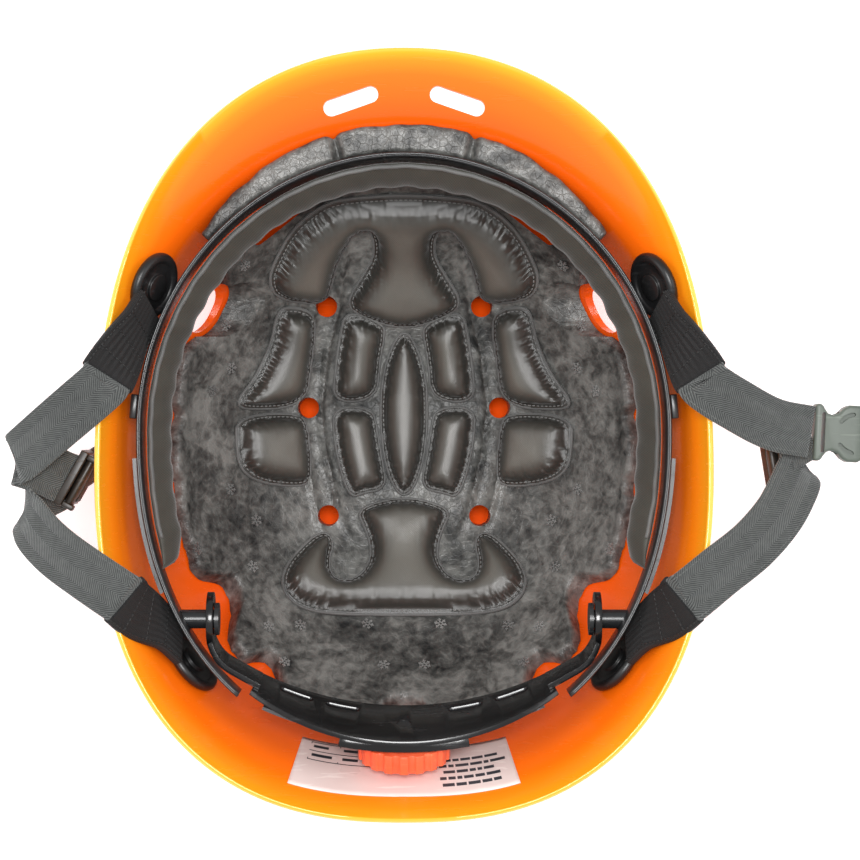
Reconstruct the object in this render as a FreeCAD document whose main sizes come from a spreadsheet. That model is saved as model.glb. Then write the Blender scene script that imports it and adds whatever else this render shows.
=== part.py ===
# Climbing and tree-work helmet, stored lying on its crown.
# +Z points up out of the head opening, +Y to the front, the origin is the lowest point of the crown.
import FreeCAD, Part
import math
import os
import Sketcher

from FreeCAD import Placement, Rotation, Vector

doc = FreeCAD.newDocument("Helmet")

# ---------------------------------------------------------------- driving dimensions, millimetres
SIZES = {
    "sideRadius": 103.0, "frontRadius": 113.0, "rearRadius": 124.0,      # dome half sizes
    "sideHeight": 128.0, "frontHeight": 122.0, "rearHeight": 140.0,
    "sideFlare": 8.4, "frontFlare": 27.0, "rearFlare": 16.0,             # how far the brim turns out
    "sideFlareStart": 75.0, "frontFlareStart": 99.0, "rearFlareStart": 92.0,
    "rimSide": 132.0, "rimFront": 119.0, "rimRear": 142.0,               # rim heights
    "crownFlat": 1.0, "domePower": 2.2, "frontPower": 2.1, "rearPower": 2.5,
    "shellWall": 2.3, "fitGap": 0.5,
    "brimSlotLength": 21.0, "brimSlotWidth": 5.8, "brimSlotSide": 19.6, "brimSlotFront": 121.0,
    "brimSlotTurn": 18.7, "ventLength": 18.0, "ventHeight": 16.0, "ventPlaceY": 47.0, "ventPlaceZ": 58.0,
    "linerThick": 20.0, "linerEdgeThick": 5.0, "linerSide": 58.0, "linerFront": 78.0, "linerRear": 76.0,
    "linerHoleRadius": 3.8, "padThick": 7.0, "padSide": 36.0, "padFront": 62.0, "padRear": 32.0,
    "bandSide": 96.5, "bandFront": 100.8, "bandRear": 117.0, "bandPower": 2.2,
    "bandTop": 118.0, "bandRise": 5.0, "bandHeight": 18.0, "bandTipHeight": 14.0, "bandThick": 1.5,
    "bandEnd": 58.0,
    "browThick": 6.0, "browHeight": 21.0,
    "frontLinerSide": 96.1, "frontLinerFront": 114.0, "frontLinerTop": 108.0, "frontLinerHeight": 16.0,
    "anchorRadius": 12.8, "anchorThick": 3.3, "anchorHole": 4.0, "anchorRoll": 2.0, "anchorStandOff": 2.1, "stemRadius": 3.95,
    "rivetRadius": 7.0, "rivetThick": 1.8,
    "webWidth": 19.0, "webThick": 1.6, "sleeveThick": 3.2, "sleeveWidth": 20.4,
    "napeCentreY": 14.5, "napeLowRadius": 117.0, "napeHighRadius": 126.75, "napeLow": 103.0,
    "napeHeight": 30.0, "napeSpread": 27.0, "napeThick": 1.8, "napeSlotLength": 13.0, "napeSlotHeight": 3.2,
    "rackThick": 1.2, "layerGap": 0.4, "rackHeight": 4.6,
    "housingThick": 1.6, "housingSpread": 10.5, "housingHeight": 24.0,
    "wheelRadius": 17.0, "wheelThick": 7.0, "fluteRadius": 1.6, "fluteCount": 18,
    "pinionRadius": 3.3, "pinionRoot": 2.7, "pinionTeeth": 8, "hubCapThick": 1.2, "shaftRadius": 2.4, "runningGap": 0.05,
    "pivotY": -70.0, "pivotZ": 108.0, "pivotX": 71.5, "pivotRingRadius": 10.0, "pivotPinRadius": 3.5,
    "pivotPinLength": 13.6, "pivotHeadRadius": 6.0, "pivotHeadThick": 1.5,
    "dividerLength": 22.0, "dividerHeight": 24.0, "dividerThick": 3.0, "dividerSlot": 2.6,
    "leverLength": 17.0, "leverThick": 3.0, "leverHeight": 14.0, "leverPinRadius": 1.4,
    "earLength": 2.0, "earWidth": 4.5, "earHeight": 5.0,
    "femaleLength": 18.0, "femaleWidth": 21.0, "femaleThick": 9.0, "femaleWall": 1.8,
    "maleLength": 16.0, "maleWidth": 20.0, "maleThick": 4.2, "prongLength": 16.0, "prongWidth": 4.4,
    "labelSpread": 18.5, "labelLow": 100.0, "labelHigh": 133.0, "labelThick": 0.25,
}
sheet = doc.addObject("Spreadsheet::Sheet", "Sizes")
for row, (alias, value) in enumerate(SIZES.items(), start=1):
    sheet.set("A%d" % row, alias)
    sheet.set("B%d" % row, "%g" % value)
    sheet.setAlias("B%d" % row, alias)
doc.recompute()


def size(alias):
    return float(getattr(sheet, alias))


parts = []


def keep(feature, label):
    """Give a finished sub-part its name, and list it for export."""
    feature.Label = label
    parts.append(feature)
    return feature


def freeform(label, shape):
    """A sub-part whose curved shape no primitive or sketch gives."""
    feature = doc.addObject("Part::Feature", label)
    feature.Shape = shape
    feature.Placement = Placement()
    return keep(feature, label)


# ---------------------------------------------------------------- the helmet's curved surface
def domeRadius(z, side):
    """Distance from the axis to the outside of the shell at height z, for one of the three directions."""
    height = size(side + "Height")
    sunk = max(0.0, 1 - (z + size("crownFlat")) / height)
    power = size("domePower")
    start = size(side + "FlareStart")
    rim = size("rim" + side.capitalize())
    turnedOut = max(0.0, (z - start) / (rim - start))
    return size(side + "Radius") * (1 - sunk ** power) ** (1 / power) + size(side + "Flare") * turnedOut ** 2


def ovalRadius(angle, side, front, rear, frontPower, rearPower):
    """Radius of an egg-shaped outline at an angle in degrees from +X."""
    across, along = math.cos(math.radians(angle)), math.sin(math.radians(angle))
    power = frontPower if along >= 0 else rearPower
    end = front if along >= 0 else rear
    return (abs(across / side) ** power + abs(along / end) ** power) ** (-1 / power)


def shellRadius(angle, z):
    return ovalRadius(angle, domeRadius(z, "side"), domeRadius(z, "front"), domeRadius(z, "rear"),
                      size("frontPower"), size("rearPower"))


def rimHeight(angle):
    along = math.sin(math.radians(angle))
    end = size("rimFront") if along >= 0 else size("rimRear")
    return size("rimSide") + (end - size("rimSide")) * abs(along) ** 1.1


def inside(angle, z, depth):
    """The point a given depth in from the shell's outer face; a negative depth is outside."""
    radius = shellRadius(angle, z)
    if z == 0:
        across, up = 0.0, 1.0
    else:
        slope = (shellRadius(angle, z + 0.5) - shellRadius(angle, max(0.0, z - 0.5))) / (0.5 + min(z, 0.5))
        across, up = 1 / math.hypot(1, slope), slope / math.hypot(1, slope)
    radius -= depth * across
    turn = math.radians(angle)
    return Vector(radius * math.cos(turn), radius * math.sin(turn), z + depth * up)


def easedLevels(count):
    """Fractions from 0 to 1 that lie closer together at the crown."""
    return [1 - math.cos(math.pi / 2 * k / count) for k in range(count + 1)]


def spread(first, last, count):
    return [first + (last - first) * k / count for k in range(count + 1)]


# ---------------------------------------------------------------- solids from rows of points
def surfaceThrough(rows):
    surface = Part.BSplineSurface()
    surface.interpolate(rows)
    return surface


def borders(surface):
    uLow, uHigh, vLow, vHigh = surface.bounds()
    curves = [surface.uIso(uLow), surface.uIso(uHigh), surface.vIso(vLow), surface.vIso(vHigh)]
    return [curve.toShape() for curve in curves]


def sewn(faces):
    """A solid from the faces that close it."""
    shell = Part.Shell(faces)
    shell.sewShape()
    solid = Part.Solid(shell)
    solid.fix(1e-5, 1e-5, 1e-4)
    if solid.Volume < 0:
        solid.reverse()
    return solid


def slab(outer, inner):
    """A plate between two nets of points, closed by its four edges."""
    faceOut, faceIn = surfaceThrough(outer), surfaceThrough(inner)
    faces = [faceOut.toShape(), faceIn.toShape()]
    for edgeOut, edgeIn in zip(borders(faceOut), borders(faceIn)):
        faces.append(Part.makeRuledSurface(edgeOut, edgeIn))
    return sewn(faces)


def bowl(outerPoint, innerPoint, levels):
    """A closed bowl with a flat bottom, made of two mirrored halves; the point functions take angle and level."""
    faces, crownOut, crownIn = [], [], []
    for first in (-90, 90):
        angles = spread(first, first + 180, 18)
        faceOut = surfaceThrough([[outerPoint(a, f) for a in angles] for f in levels])
        faceIn = surfaceThrough([[innerPoint(a, f) for a in angles] for f in levels])
        edgesOut, edgesIn = borders(faceOut), borders(faceIn)
        faces += [faceOut.toShape(), faceIn.toShape(), Part.makeRuledSurface(edgesOut[1], edgesIn[1])]
        crownOut.append(edgesOut[0])
        crownIn.append(edgesIn[0])
    faces += [Part.Face(Part.Wire(crownOut)), Part.Face(Part.Wire(crownIn))]
    return sewn(faces)


def ribbon(path, across, width, thick):
    """A flat strap along points; across gives its width direction at each point."""
    upper, lower = [], []
    for index, point in enumerate(path):
        ahead = path[min(index + 1, len(path) - 1)] - path[max(index - 1, 0)]
        side = Vector(across[index]).normalize()
        normal = ahead.cross(side).normalize() * (thick / 2)
        row = [point + side * offset for offset in spread(-width / 2, width / 2, 2)]
        upper.append([p + normal for p in row])
        lower.append([p - normal for p in row])
    return slab(upper, lower)


def rounded(length, width, height):
    """An upright block with half-round ends along X, centred on the origin."""
    straight = length - width
    block = Part.makeBox(straight, width, height, Vector(-straight / 2, -width / 2, -height / 2))
    for end in (-1, 1):
        foot = Vector(end * straight / 2, 0, -height / 2)
        block = block.fuse(Part.makeCylinder(width / 2, height, foot))
    return block.removeSplitter()


# ---------------------------------------------------------------- shell, liners and pads
ANCHORS = {"front_left": (150.5, 112.0), "front_right": (29.5, 112.0),
           "rear_left": (227.0, 106.0), "rear_right": (313.0, 106.0)}      # angle, height


def wallAxis(angle, z):
    """The direction square to the shell's outer face, pointing out."""
    round_ = inside(angle + 2, z, 0) - inside(angle - 2, z, 0)
    upward = inside(angle, z + 2, 0) - inside(angle, z - 2, 0)
    return round_.cross(upward).normalize()


def ventBlock(side, length, height):
    """The block that cuts a side vent, lying across the shell."""
    block = rounded(length, height, 40)
    block.Placement = Placement(Vector(side * 85, size("ventPlaceY"), size("ventPlaceZ")),
                                Rotation(Vector(0, 0, 1), 90).multiply(Rotation(Vector(1, 0, 0), 90)))
    return block


def makeShell():
    levels = easedLevels(13)
    shape = bowl(lambda a, f: inside(a, f * rimHeight(a), 0),
                 lambda a, f: inside(a, f * rimHeight(a), size("shellWall")), levels)
    for side in (-1, 1):
        slot = rounded(size("brimSlotLength"), size("brimSlotWidth"), 40)
        slot.Placement = Placement(Vector(side * size("brimSlotSide"), size("brimSlotFront"), 110),
                                   Rotation(Vector(0, 0, 1), -side * size("brimSlotTurn")))
        shape = shape.cut(slot)
        shape = shape.cut(ventBlock(side, size("ventLength"), size("ventHeight")))
    for angle, z in ANCHORS.values():
        axis = wallAxis(angle, z)
        shape = shape.cut(Part.makeCylinder(size("anchorHole"), 20, inside(angle, z, 0) - axis * 10, axis))
    return freeform("shell", shape)


def ends(angle, side, front, rear):
    along = math.sin(math.radians(angle))
    end = front if along >= 0 else rear
    return side + (end - side) * along * along


def linerLevel(angle, fraction):
    return fraction * ends(angle, size("linerSide"), size("linerFront"), size("linerRear"))


def linerDepth(angle, z):
    """How deep below the outside of the shell the liner's inner face lies."""
    part = min(1.0, z / ends(angle, size("linerSide"), size("linerFront"), size("linerRear")))
    thick = size("linerThick") + (size("linerEdgeThick") - size("linerThick")) * part
    return size("shellWall") + size("fitGap") + thick


LINER_HOLES = [(-29.5, 48.0), (29.5, 48.0), (-38.5, 9.0), (38.5, 9.0), (-29.5, -34.0), (29.5, -34.0)]


def makeLiner():
    skin = size("shellWall") + size("fitGap")
    shape = bowl(lambda a, f: inside(a, linerLevel(a, f), skin),
                 lambda a, f: inside(a, linerLevel(a, f), linerDepth(a, linerLevel(a, f))), easedLevels(9))
    for x, y in LINER_HOLES:
        shape = shape.cut(Part.makeCylinder(size("linerHoleRadius"), 90, Vector(x, y, 0)))
    for side in (-1, 1):
        shape = shape.cut(ventBlock(side, size("ventLength") + 3, size("ventHeight") + 3))
    return freeform("liner", shape)


def makeCrownPad():
    gap = size("fitGap")

    def level(angle, fraction):
        return fraction * ends(angle, size("padSide"), size("padFront"), size("padRear"))

    shape = bowl(lambda a, f: inside(a, level(a, f), linerDepth(a, level(a, f)) + gap),
                 lambda a, f: inside(a, level(a, f), linerDepth(a, level(a, f)) + gap + size("padThick")),
                 easedLevels(8))
    for x, y in LINER_HOLES:
        shape = shape.cut(Part.makeCylinder(size("linerHoleRadius"), 90, Vector(x, y, 0)))
    return freeform("crown_pad", shape)


def bandPoint(angle, z, offset):
    """A point on the headband's inner line, moved outwards by offset."""
    radius = ovalRadius(angle, size("bandSide"), size("bandFront"), size("bandRear"), 2.0, size("bandPower"))
    turn = math.radians(angle)
    return Vector((radius + offset) * math.cos(turn), (radius + offset) * math.sin(turn), z)


def bandTop(angle):
    return size("bandTop") - size("bandRise") * math.sin(math.radians(angle))


def bandStrip(first, last, count, low, high, near, far):
    """A strip that follows the headband; low and high give its edges at each angle."""
    angles = spread(first, last, count)
    outer = [[bandPoint(a, z, far) for z in spread(low(a), high(a), 3)] for a in angles]
    inner = [[bandPoint(a, z, near) for z in spread(low(a), high(a), 3)] for a in angles]
    return slab(outer, inner)


def makeHeadband():
    def height(angle):
        past = max(0.0, -math.sin(math.radians(angle)))
        return size("bandHeight") + (size("bandTipHeight") - size("bandHeight")) * past ** 1.5

    shape = bandStrip(-size("bandEnd"), 180 + size("bandEnd"), 48,
                      lambda a: bandTop(a) - height(a), bandTop, 0, size("bandThick"))
    return freeform("headband", shape)


def makeBrowPad():
    gap = 0.3
    return freeform("brow_pad", bandStrip(-26, 206, 36, lambda a: bandTop(a) - 2 - size("browHeight"),
                                          lambda a: bandTop(a) - 2, -gap - size("browThick"), -gap))


def makeFrontLiner():
    """The foam block between the headband and the brim."""
    top = size("frontLinerTop")
    low = top - size("frontLinerHeight")

    def outerPoint(angle, z):
        turn = math.radians(angle)
        radius = ovalRadius(angle, size("frontLinerSide"), size("frontLinerFront"), size("frontLinerFront"),
                            size("frontPower"), size("frontPower"))
        radius = min(radius, shellRadius(angle, z) - size("shellWall") - 1.8)
        return Vector(radius * math.cos(turn), radius * math.sin(turn), z)

    angles = spread(44, 136, 16)
    outer = [[outerPoint(a, z) for z in spread(low, top, 3)] for a in angles]
    inner = [[bandPoint(a, z, size("bandThick") + 0.8) for z in spread(low, top, 3)] for a in angles]
    return freeform("front_liner", slab(outer, inner))


def makeBandRails():
    """The slim rails that hang the headband between its side clips and the rear."""
    near = size("bandThick") + 0.6
    for name, first, last in (("left", 186, 214), ("right", -34, -6)):
        freeform("band_rail_" + name, bandStrip(first, last, 8, lambda a: bandTop(a) - 10,
                                                lambda a: bandTop(a) - 3, near, near + 1.4))


def makeBandClips():
    for name, angle in (("left", 175.0), ("right", 5.0)):
        block = doc.addObject("Part::Box", "band_clip_" + name)
        block.Length, block.Width, block.Height = 2.6, 9.0, 12.0
        foot = bandPoint(angle, bandTop(angle) - 13, size("bandThick") + 0.3)
        block.Placement = Placement(foot, Rotation(Vector(0, 0, 1), angle)).multiply(
            Placement(Vector(0, -4.5, 0), Rotation()))
        keep(block, "band_clip_" + name)


def makeLabel():
    first, last = 270 - size("labelSpread"), 270 + size("labelSpread")
    depth = size("shellWall") + 0.25
    angles, heights = spread(first, last, 8), spread(size("labelLow"), size("labelHigh"), 6)
    outer = [[inside(a, z, depth) for z in heights] for a in angles]
    inner = [[inside(a, z, depth + size("labelThick")) for z in heights] for a in angles]
    return freeform("size_label", slab(outer, inner))


# ---------------------------------------------------------------- primitives bound to the sheet
def bound(kind, name, **dimensions):
    """A Part primitive whose dimensions are expressions over the sheet's aliases."""
    feature = doc.addObject("Part::" + kind, name)
    for prop, expression in dimensions.items():
        feature.setExpression(prop, expression)
    return feature


def moved(feature, x=0.0, y=0.0, z=0.0, turn=None):
    feature.Placement = Placement(Vector(x, y, z), turn or Rotation())
    return feature


def joined(name, features):
    result = doc.addObject("Part::MultiFuse", name)
    result.Shapes = features
    return result


def cutFrom(name, base, tool):
    result = doc.addObject("Part::Cut", name)
    result.Base, result.Tool = base, tool
    return result


def along(direction, about=Vector(0, 0, 1)):
    """The rotation that carries one direction onto another."""
    return Rotation(about, direction)


# ---------------------------------------------------------------- strap anchors
def makeAnchor(name, angle, z):
    """A raised ring that a strap is sewn round, with the stem that goes out through the shell."""
    disc = bound("Cylinder", name + "_disc", Radius="Sizes.anchorRadius - 1.6",
                 Height="Sizes.anchorThick - 1.2")
    ring = moved(bound("Torus", name + "_ring", Radius1="Sizes.anchorRadius - 2", Radius2="Sizes.anchorRoll"),
                 z=size("anchorThick") - 2.0)
    hub = bound("Cylinder", name + "_hub", Radius="Sizes.anchorHole + 1", Height="Sizes.anchorThick")
    stem = moved(bound("Cylinder", name + "_stem", Radius="Sizes.stemRadius",
                       Height="Sizes.anchorStandOff + Sizes.shellWall + 0.2"),
                 z=-size("anchorStandOff") - size("shellWall") - 0.2)
    anchor = joined("anchor_" + name, [disc, ring, hub, stem])
    inward = wallAxis(angle, z) * -1
    seat = inside(angle, z, 0) + inward * (size("shellWall") + size("anchorStandOff"))
    anchor.Placement = Placement(seat, along(inward))
    return keep(anchor, "anchor_" + name)


def makeRivets():
    """The four rivet heads on the outside of the shell, one on each anchor's stem."""
    heads = []
    for angle, z in ANCHORS.values():
        outward = wallAxis(angle, z)
        head = Part.makeCylinder(size("rivetRadius"), size("rivetThick"))
        head = head.makeFillet(0.8, [edge for edge in head.Edges if edge.BoundBox.ZMin > 0.5])
        head.Placement = Placement(inside(angle, z, -0.7), along(outward))
        heads.append(head)
    return freeform("anchor_rivets", Part.Compound(heads))


# ---------------------------------------------------------------- webbing
def mirrored(points):
    return [Vector(-p.x, p.y, p.z) for p in points]


HINGE_FRONT = Vector(-107.5, 17.5, 136.0)      # where the left straps bend over the rim
HINGE_REAR = Vector(-101.0, -59.5, 141.5)


def makeSleeves():
    """Stitched sleeves that carry each strap from its anchor up to the rim."""
    front = [inside(160, 118, 6.3), inside(165, 126, 6.8), HINGE_FRONT + Vector(1.0, 1.5, -0.6)]
    frontAcross = [Vector(-0.40, 0.20, 0.88), Vector(-0.70, 0.30, 0.60), Vector(-0.82, 0.54, 0.15)]
    rear = [inside(217, 119, 8.0), inside(214, 131, 8.4), HINGE_REAR + Vector(1.2, -1.0, -0.8)]
    rearAcross = [Vector(-0.30, -0.30, 0.90), Vector(-0.50, -0.50, 0.65), Vector(-0.62, -0.76, 0.15)]
    for name, path, across in (("front", front, frontAcross), ("rear", rear, rearAcross)):
        width, thick = size("sleeveWidth"), size("sleeveThick")
        freeform("sleeve_%s_left" % name, ribbon(path, across, width, thick))
        freeform("sleeve_%s_right" % name, ribbon(mirrored(path), mirrored(across), width, thick))


WEBS = {
    "web_front_left": ([(-108.7, 15.8, 136.1), (-116.5, 9.0, 136.0), (-126.0, 1.5, 133.8),
                        (-135.5, -6.0, 130.6), (-141.0, -10.0, 128.6)],
                       [(-0.82, 0.56, 0.08), (-0.72, 0.69, 0.04), (-0.55, 0.83, 0.0),
                        (-0.38, 0.92, 0.0), (-0.26, 0.96, 0.0)]),
    "web_return_left": ([(-140.6, -11.0, 126.0), (-132.0, -14.5, 125.2), (-124.0, -17.5, 124.6)],
                        [(-0.26, 0.96, 0.0), (0.05, 1.0, 0.0), (0.35, 0.93, 0.0)]),
    "web_rear_left": ([(-102.6, -58.6, 141.6), (-113.0, -52.0, 138.6), (-124.0, -44.8, 133.6),
                       (-133.0, -37.6, 128.6), (-139.0, -31.6, 125.0)],
                      [(-0.60, -0.79, 0.08), (-0.56, -0.83, 0.0), (-0.50, -0.86, 0.0),
                       (-0.38, -0.92, 0.0), (-0.25, -0.97, 0.0)]),
    "web_front_right": ([(108.7, 15.8, 136.1), (118.3, 9.6, 135.8), (132.9, 2.2, 131.4), (147.4, -0.7, 127.6)],
                        [(0.82, 0.56, 0.08), (0.60, 0.80, 0.0), (0.25, 0.97, 0.0), (-0.05, 1.0, 0.0)]),
    "web_return_right": ([(147.4, -1.4, 124.9), (144.6, -2.6, 124.6), (141.8, -3.6, 124.4)],
                         [(-0.05, 1.0, 0.0), (-0.05, 1.0, 0.0), (-0.1, 1.0, 0.0)]),
    "web_rear_right": ([(102.6, -58.6, 141.6), (113.0, -50.6, 138.6), (125.6, -41.3, 133.6),
                        (135.5, -31.0, 128.4), (142.5, -20.8, 125.2)],
                       [(0.60, -0.79, 0.08), (0.60, -0.80, 0.0), (0.64, -0.77, 0.0),
                        (0.70, -0.71, 0.0), (0.74, -0.67, 0.0)]),
}


def makeWebs():
    for name, (path, across) in WEBS.items():
        freeform(name, ribbon([Vector(*p) for p in path], [Vector(*a) for a in across],
                              size("webWidth"), size("webThick")))
    path = [Vector(-120.5, -13.5, 95.5), inside(183, 88, -9), inside(176, 80, -6.5),
            inside(168, 72, -6), inside(162, 67, -6)]
    across = [Vector(0.48, 0.87, 0.1), Vector(0.2, 0.6, 0.75), Vector(0, 0.48, 0.87),
              Vector(0, 0.45, 0.89), Vector(-0.05, 0.42, 0.9)]
    freeform("chin_web_left", ribbon(path, across, size("webWidth"), size("webThick")))


# ---------------------------------------------------------------- strap dividers
DIVIDERS = {"left": (Vector(-121.5, -17.5, 110.5), 61.0, 1), "right": (Vector(138.5, -12.5, 110.5), 99.0, -1)}
LEVER_DROP = 9.0                               # the lever's pin stands this far above the plate's middle
LEVER_GAP = 0.5


def makeDivider(name, centre, turn, side):
    """An upright plate with two webbing slots, and the ears that hold its locking lever."""
    plate = moved(bound("Box", "plate_" + name, Length="Sizes.dividerLength", Width="Sizes.dividerThick",
                        Height="Sizes.dividerHeight"),
                  -size("dividerLength") / 2, -size("dividerThick") / 2, -size("dividerHeight") / 2)
    slots = [moved(bound("Box", "slot_%s_%d" % (name, number), Length="Sizes.dividerLength - 6",
                         Width="Sizes.dividerThick + 2", Height="Sizes.dividerSlot"),
                   -size("dividerLength") / 2 + 3, -size("dividerThick") / 2 - 1, z)
             for number, z in enumerate((-9.0, -3.6, 1.8))]
    divider = cutFrom("divider_" + name, plate, joined("slots_" + name, slots))
    divider.Placement = Placement(centre, Rotation(Vector(0, 0, 1), turn))
    keep(divider, "divider_" + name)
    ears = []
    for end in (-1, 1):
        ears.append(moved(bound("Box", "ear_%s_%d" % (name, end + 1), Length="Sizes.earLength", Width="Sizes.earWidth",
                                Height="Sizes.earHeight"),
                          end * 9.6 - 1, -side * (size("dividerThick") / 2 + 2.3) - 2.25, LEVER_DROP - 2.5))
    yoke = joined("ears_" + name, ears)
    yoke.Placement = divider.Placement
    keep(yoke, "divider_ears_" + name)
    grip = moved(bound("Box", "grip_" + name, Length="Sizes.leverLength", Width="Sizes.leverThick",
                       Height="Sizes.leverHeight"),
                 -size("leverLength") / 2, -size("leverThick") / 2, -size("leverHeight"))
    barrel = moved(bound("Cylinder", "barrel_" + name, Radius="Sizes.leverPinRadius", Height="Sizes.leverLength"),
                   -size("leverLength") / 2, 0, 0, Rotation(Vector(0, 1, 0), 90))
    lever = joined("divider_lever_" + name, [grip, barrel])
    local = Vector(0, -side * (size("dividerThick") / 2 + LEVER_GAP + size("leverThick") / 2), LEVER_DROP)
    lever.Placement = divider.Placement.multiply(Placement(local, Rotation()))
    keep(lever, "divider_lever_" + name)


# ---------------------------------------------------------------- sketch helpers
def planeOf(body, role):
    return [plane for plane in body.Origin.OriginFeatures if plane.Role == role][0]


def sketchOn(body, name, role="XY_Plane", lift=0.0):
    sketch = body.newObject("Sketcher::SketchObject", name)
    sketch.AttachmentSupport = (planeOf(body, role), [""])
    sketch.MapMode = "FlatFace"
    sketch.AttachmentOffset = Placement(Vector(0, 0, lift), Rotation())
    return sketch


def drawCircle(sketch, radius, x=0.0):
    """A circle on the sketch's X axis; radius and x are sheet expressions or a number."""
    index = sketch.addGeometry(Part.Circle(Vector(1, 0, 0), Vector(0, 0, 1), 1.0), False)
    if x:
        sketch.addConstraint(Sketcher.Constraint("PointOnObject", index, 3, -1))
        place = sketch.addConstraint(Sketcher.Constraint("DistanceX", -1, 1, index, 3, 1.0))
        sketch.setExpression("Constraints[%d]" % place, x)
    else:
        sketch.addConstraint(Sketcher.Constraint("Coincident", index, 3, -1, 1))
    measure = sketch.addConstraint(Sketcher.Constraint("Radius", index, 1.0))
    sketch.setExpression("Constraints[%d]" % measure, radius)


def drawRectangle(sketch, length, width, x=None):
    """A rectangle centred on the sketch's X axis, its near edge at x."""
    corners = [Vector(0, -1, 0), Vector(2, -1, 0), Vector(2, 1, 0), Vector(0, 1, 0)]
    for start in range(4):
        sketch.addGeometry(Part.LineSegment(corners[start], corners[(start + 1) % 4]), False)
    for start in range(4):
        sketch.addConstraint(Sketcher.Constraint("Coincident", start, 2, (start + 1) % 4, 1))
    for line, direction in ((0, "Horizontal"), (1, "Vertical"), (2, "Horizontal")):
        sketch.addConstraint(Sketcher.Constraint(direction, line))
    sketch.addConstraint(Sketcher.Constraint("Symmetric", 0, 1, 3, 1, -1))
    measures = [("DistanceX", (0, 1, 0, 2), length), ("DistanceY", (1, 1, 1, 2), width)]
    if x is None:
        sketch.addConstraint(Sketcher.Constraint("PointOnObject", 0, 1, -2))
    else:
        measures.append(("DistanceX", (-1, 1, 0, 1), x))
    for kind, fixed, expression in measures:
        index = sketch.addConstraint(Sketcher.Constraint(kind, *fixed, 2.0))
        sketch.setExpression("Constraints[%d]" % index, expression)


def feature(body, kind, name, sketch, length=None, backwards=False, midplane=False):
    result = body.newObject("PartDesign::" + kind, name)
    result.Profile = sketch
    if length is None:
        result.Type = 1                        # through all
        result.Midplane = True
    else:
        result.setExpression("Length", length)
        result.Reversed = backwards
        result.Midplane = midplane
    return result


# ---------------------------------------------------------------- buckles
def makeFemaleBuckle():
    """The socket half: a flat box open at its end, with a window on each side for the latches."""
    body = doc.addObject("PartDesign::Body", "buckle_female")
    outline = sketchOn(body, "femaleOutline")
    drawRectangle(outline, "Sizes.femaleLength", "Sizes.femaleWidth")
    feature(body, "Pad", "femalePad", outline, "Sizes.femaleThick", midplane=True)
    socket = sketchOn(body, "femaleSocket")
    drawRectangle(socket, "Sizes.femaleLength", "Sizes.femaleWidth - 2 * Sizes.femaleWall", "5 mm")
    feature(body, "Pocket", "femaleCavity", socket, "Sizes.femaleThick - 2 * Sizes.femaleWall", midplane=True)
    windows = sketchOn(body, "femaleWindows")
    drawRectangle(windows, "5 mm", "Sizes.femaleWidth + 4", "6.5 mm")
    feature(body, "Pocket", "femaleSides", windows, "Sizes.femaleThick - 2 * Sizes.femaleWall - 0.6",
            midplane=True)
    body.Placement = Placement(Vector(148.7, -0.7, 124.6), Rotation(Vector(0, 0, 1), -3))
    return keep(body, "buckle_female")


def makeMaleBuckle():
    """The plug half: a bar for the webbing and three prongs."""
    body = doc.addObject("PartDesign::Body", "buckle_male")
    outline = sketchOn(body, "maleOutline")
    drawRectangle(outline, "Sizes.maleLength", "Sizes.maleWidth")
    feature(body, "Pad", "malePad", outline, "Sizes.maleThick", midplane=True)
    prongs = sketchOn(body, "maleProngs")
    drawRectangle(prongs, "Sizes.prongLength", "Sizes.maleWidth - 1.5", "Sizes.maleLength - 0.1")
    feature(body, "Pad", "malePadProngs", prongs, "Sizes.maleThick - 1.2", midplane=True)
    webSlot = sketchOn(body, "maleSlot")
    drawRectangle(webSlot, "3 mm", "Sizes.maleWidth - 4", "3.5 mm")
    feature(body, "Pocket", "maleWebSlot", webSlot)
    gaps = sketchOn(body, "maleGaps")
    drawRectangle(gaps, "Sizes.prongLength - 4", "Sizes.prongWidth", "Sizes.maleLength + 5")
    feature(body, "Pocket", "maleGap", gaps)
    start, end = inside(161.0, 66, -6.2), inside(148.0, 58, -7.0)
    forward = (end - start).normalize()
    outward = wallAxis(154, 61)
    side = outward.cross(forward).normalize()
    outward = forward.cross(side).normalize()
    matrix = FreeCAD.Matrix(forward.x, side.x, outward.x, start.x,
                            forward.y, side.y, outward.y, start.y,
                            forward.z, side.z, outward.z, start.z, 0, 0, 0, 1)
    body.Placement = Placement(matrix)
    return keep(body, "buckle_male")


# ---------------------------------------------------------------- nape cradle and its adjuster
def napePoint(azimuth, z, offset):
    """A point on the nape cone; azimuth runs from straight back towards the right."""
    part = (z - size("napeLow")) / size("napeHeight")
    radius = size("napeLowRadius") + (size("napeHighRadius") - size("napeLowRadius")) * part + offset
    turn = math.radians(azimuth)
    return Vector(radius * math.sin(turn), size("napeCentreY") - radius * math.cos(turn), z)


def napeStrip(first, last, low, high, near, far):
    azimuths = spread(first, last, 12)
    outer = [[napePoint(a, z, far) for z in spread(low(a), high(a), 3)] for a in azimuths]
    inner = [[napePoint(a, z, near) for z in spread(low(a), high(a), 3)] for a in azimuths]
    return slab(outer, inner)


WHEEL_LEAN = math.atan2(9.75, 30.0)            # the cone's slope
WHEEL_OUT = Vector(0, -math.cos(WHEEL_LEAN), -math.sin(WHEEL_LEAN))
WHEEL_Z = 118.0
PINION_Z = 117.2                               # the leaning axis has dropped this far at the racks
ARM_GAP = 3.8


def wheelSeat(offset):
    """A point on the wheel's axis, measured outwards from the inner face of the nape plate."""
    return napePoint(0, WHEEL_Z, 0) + WHEEL_OUT * offset


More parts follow.
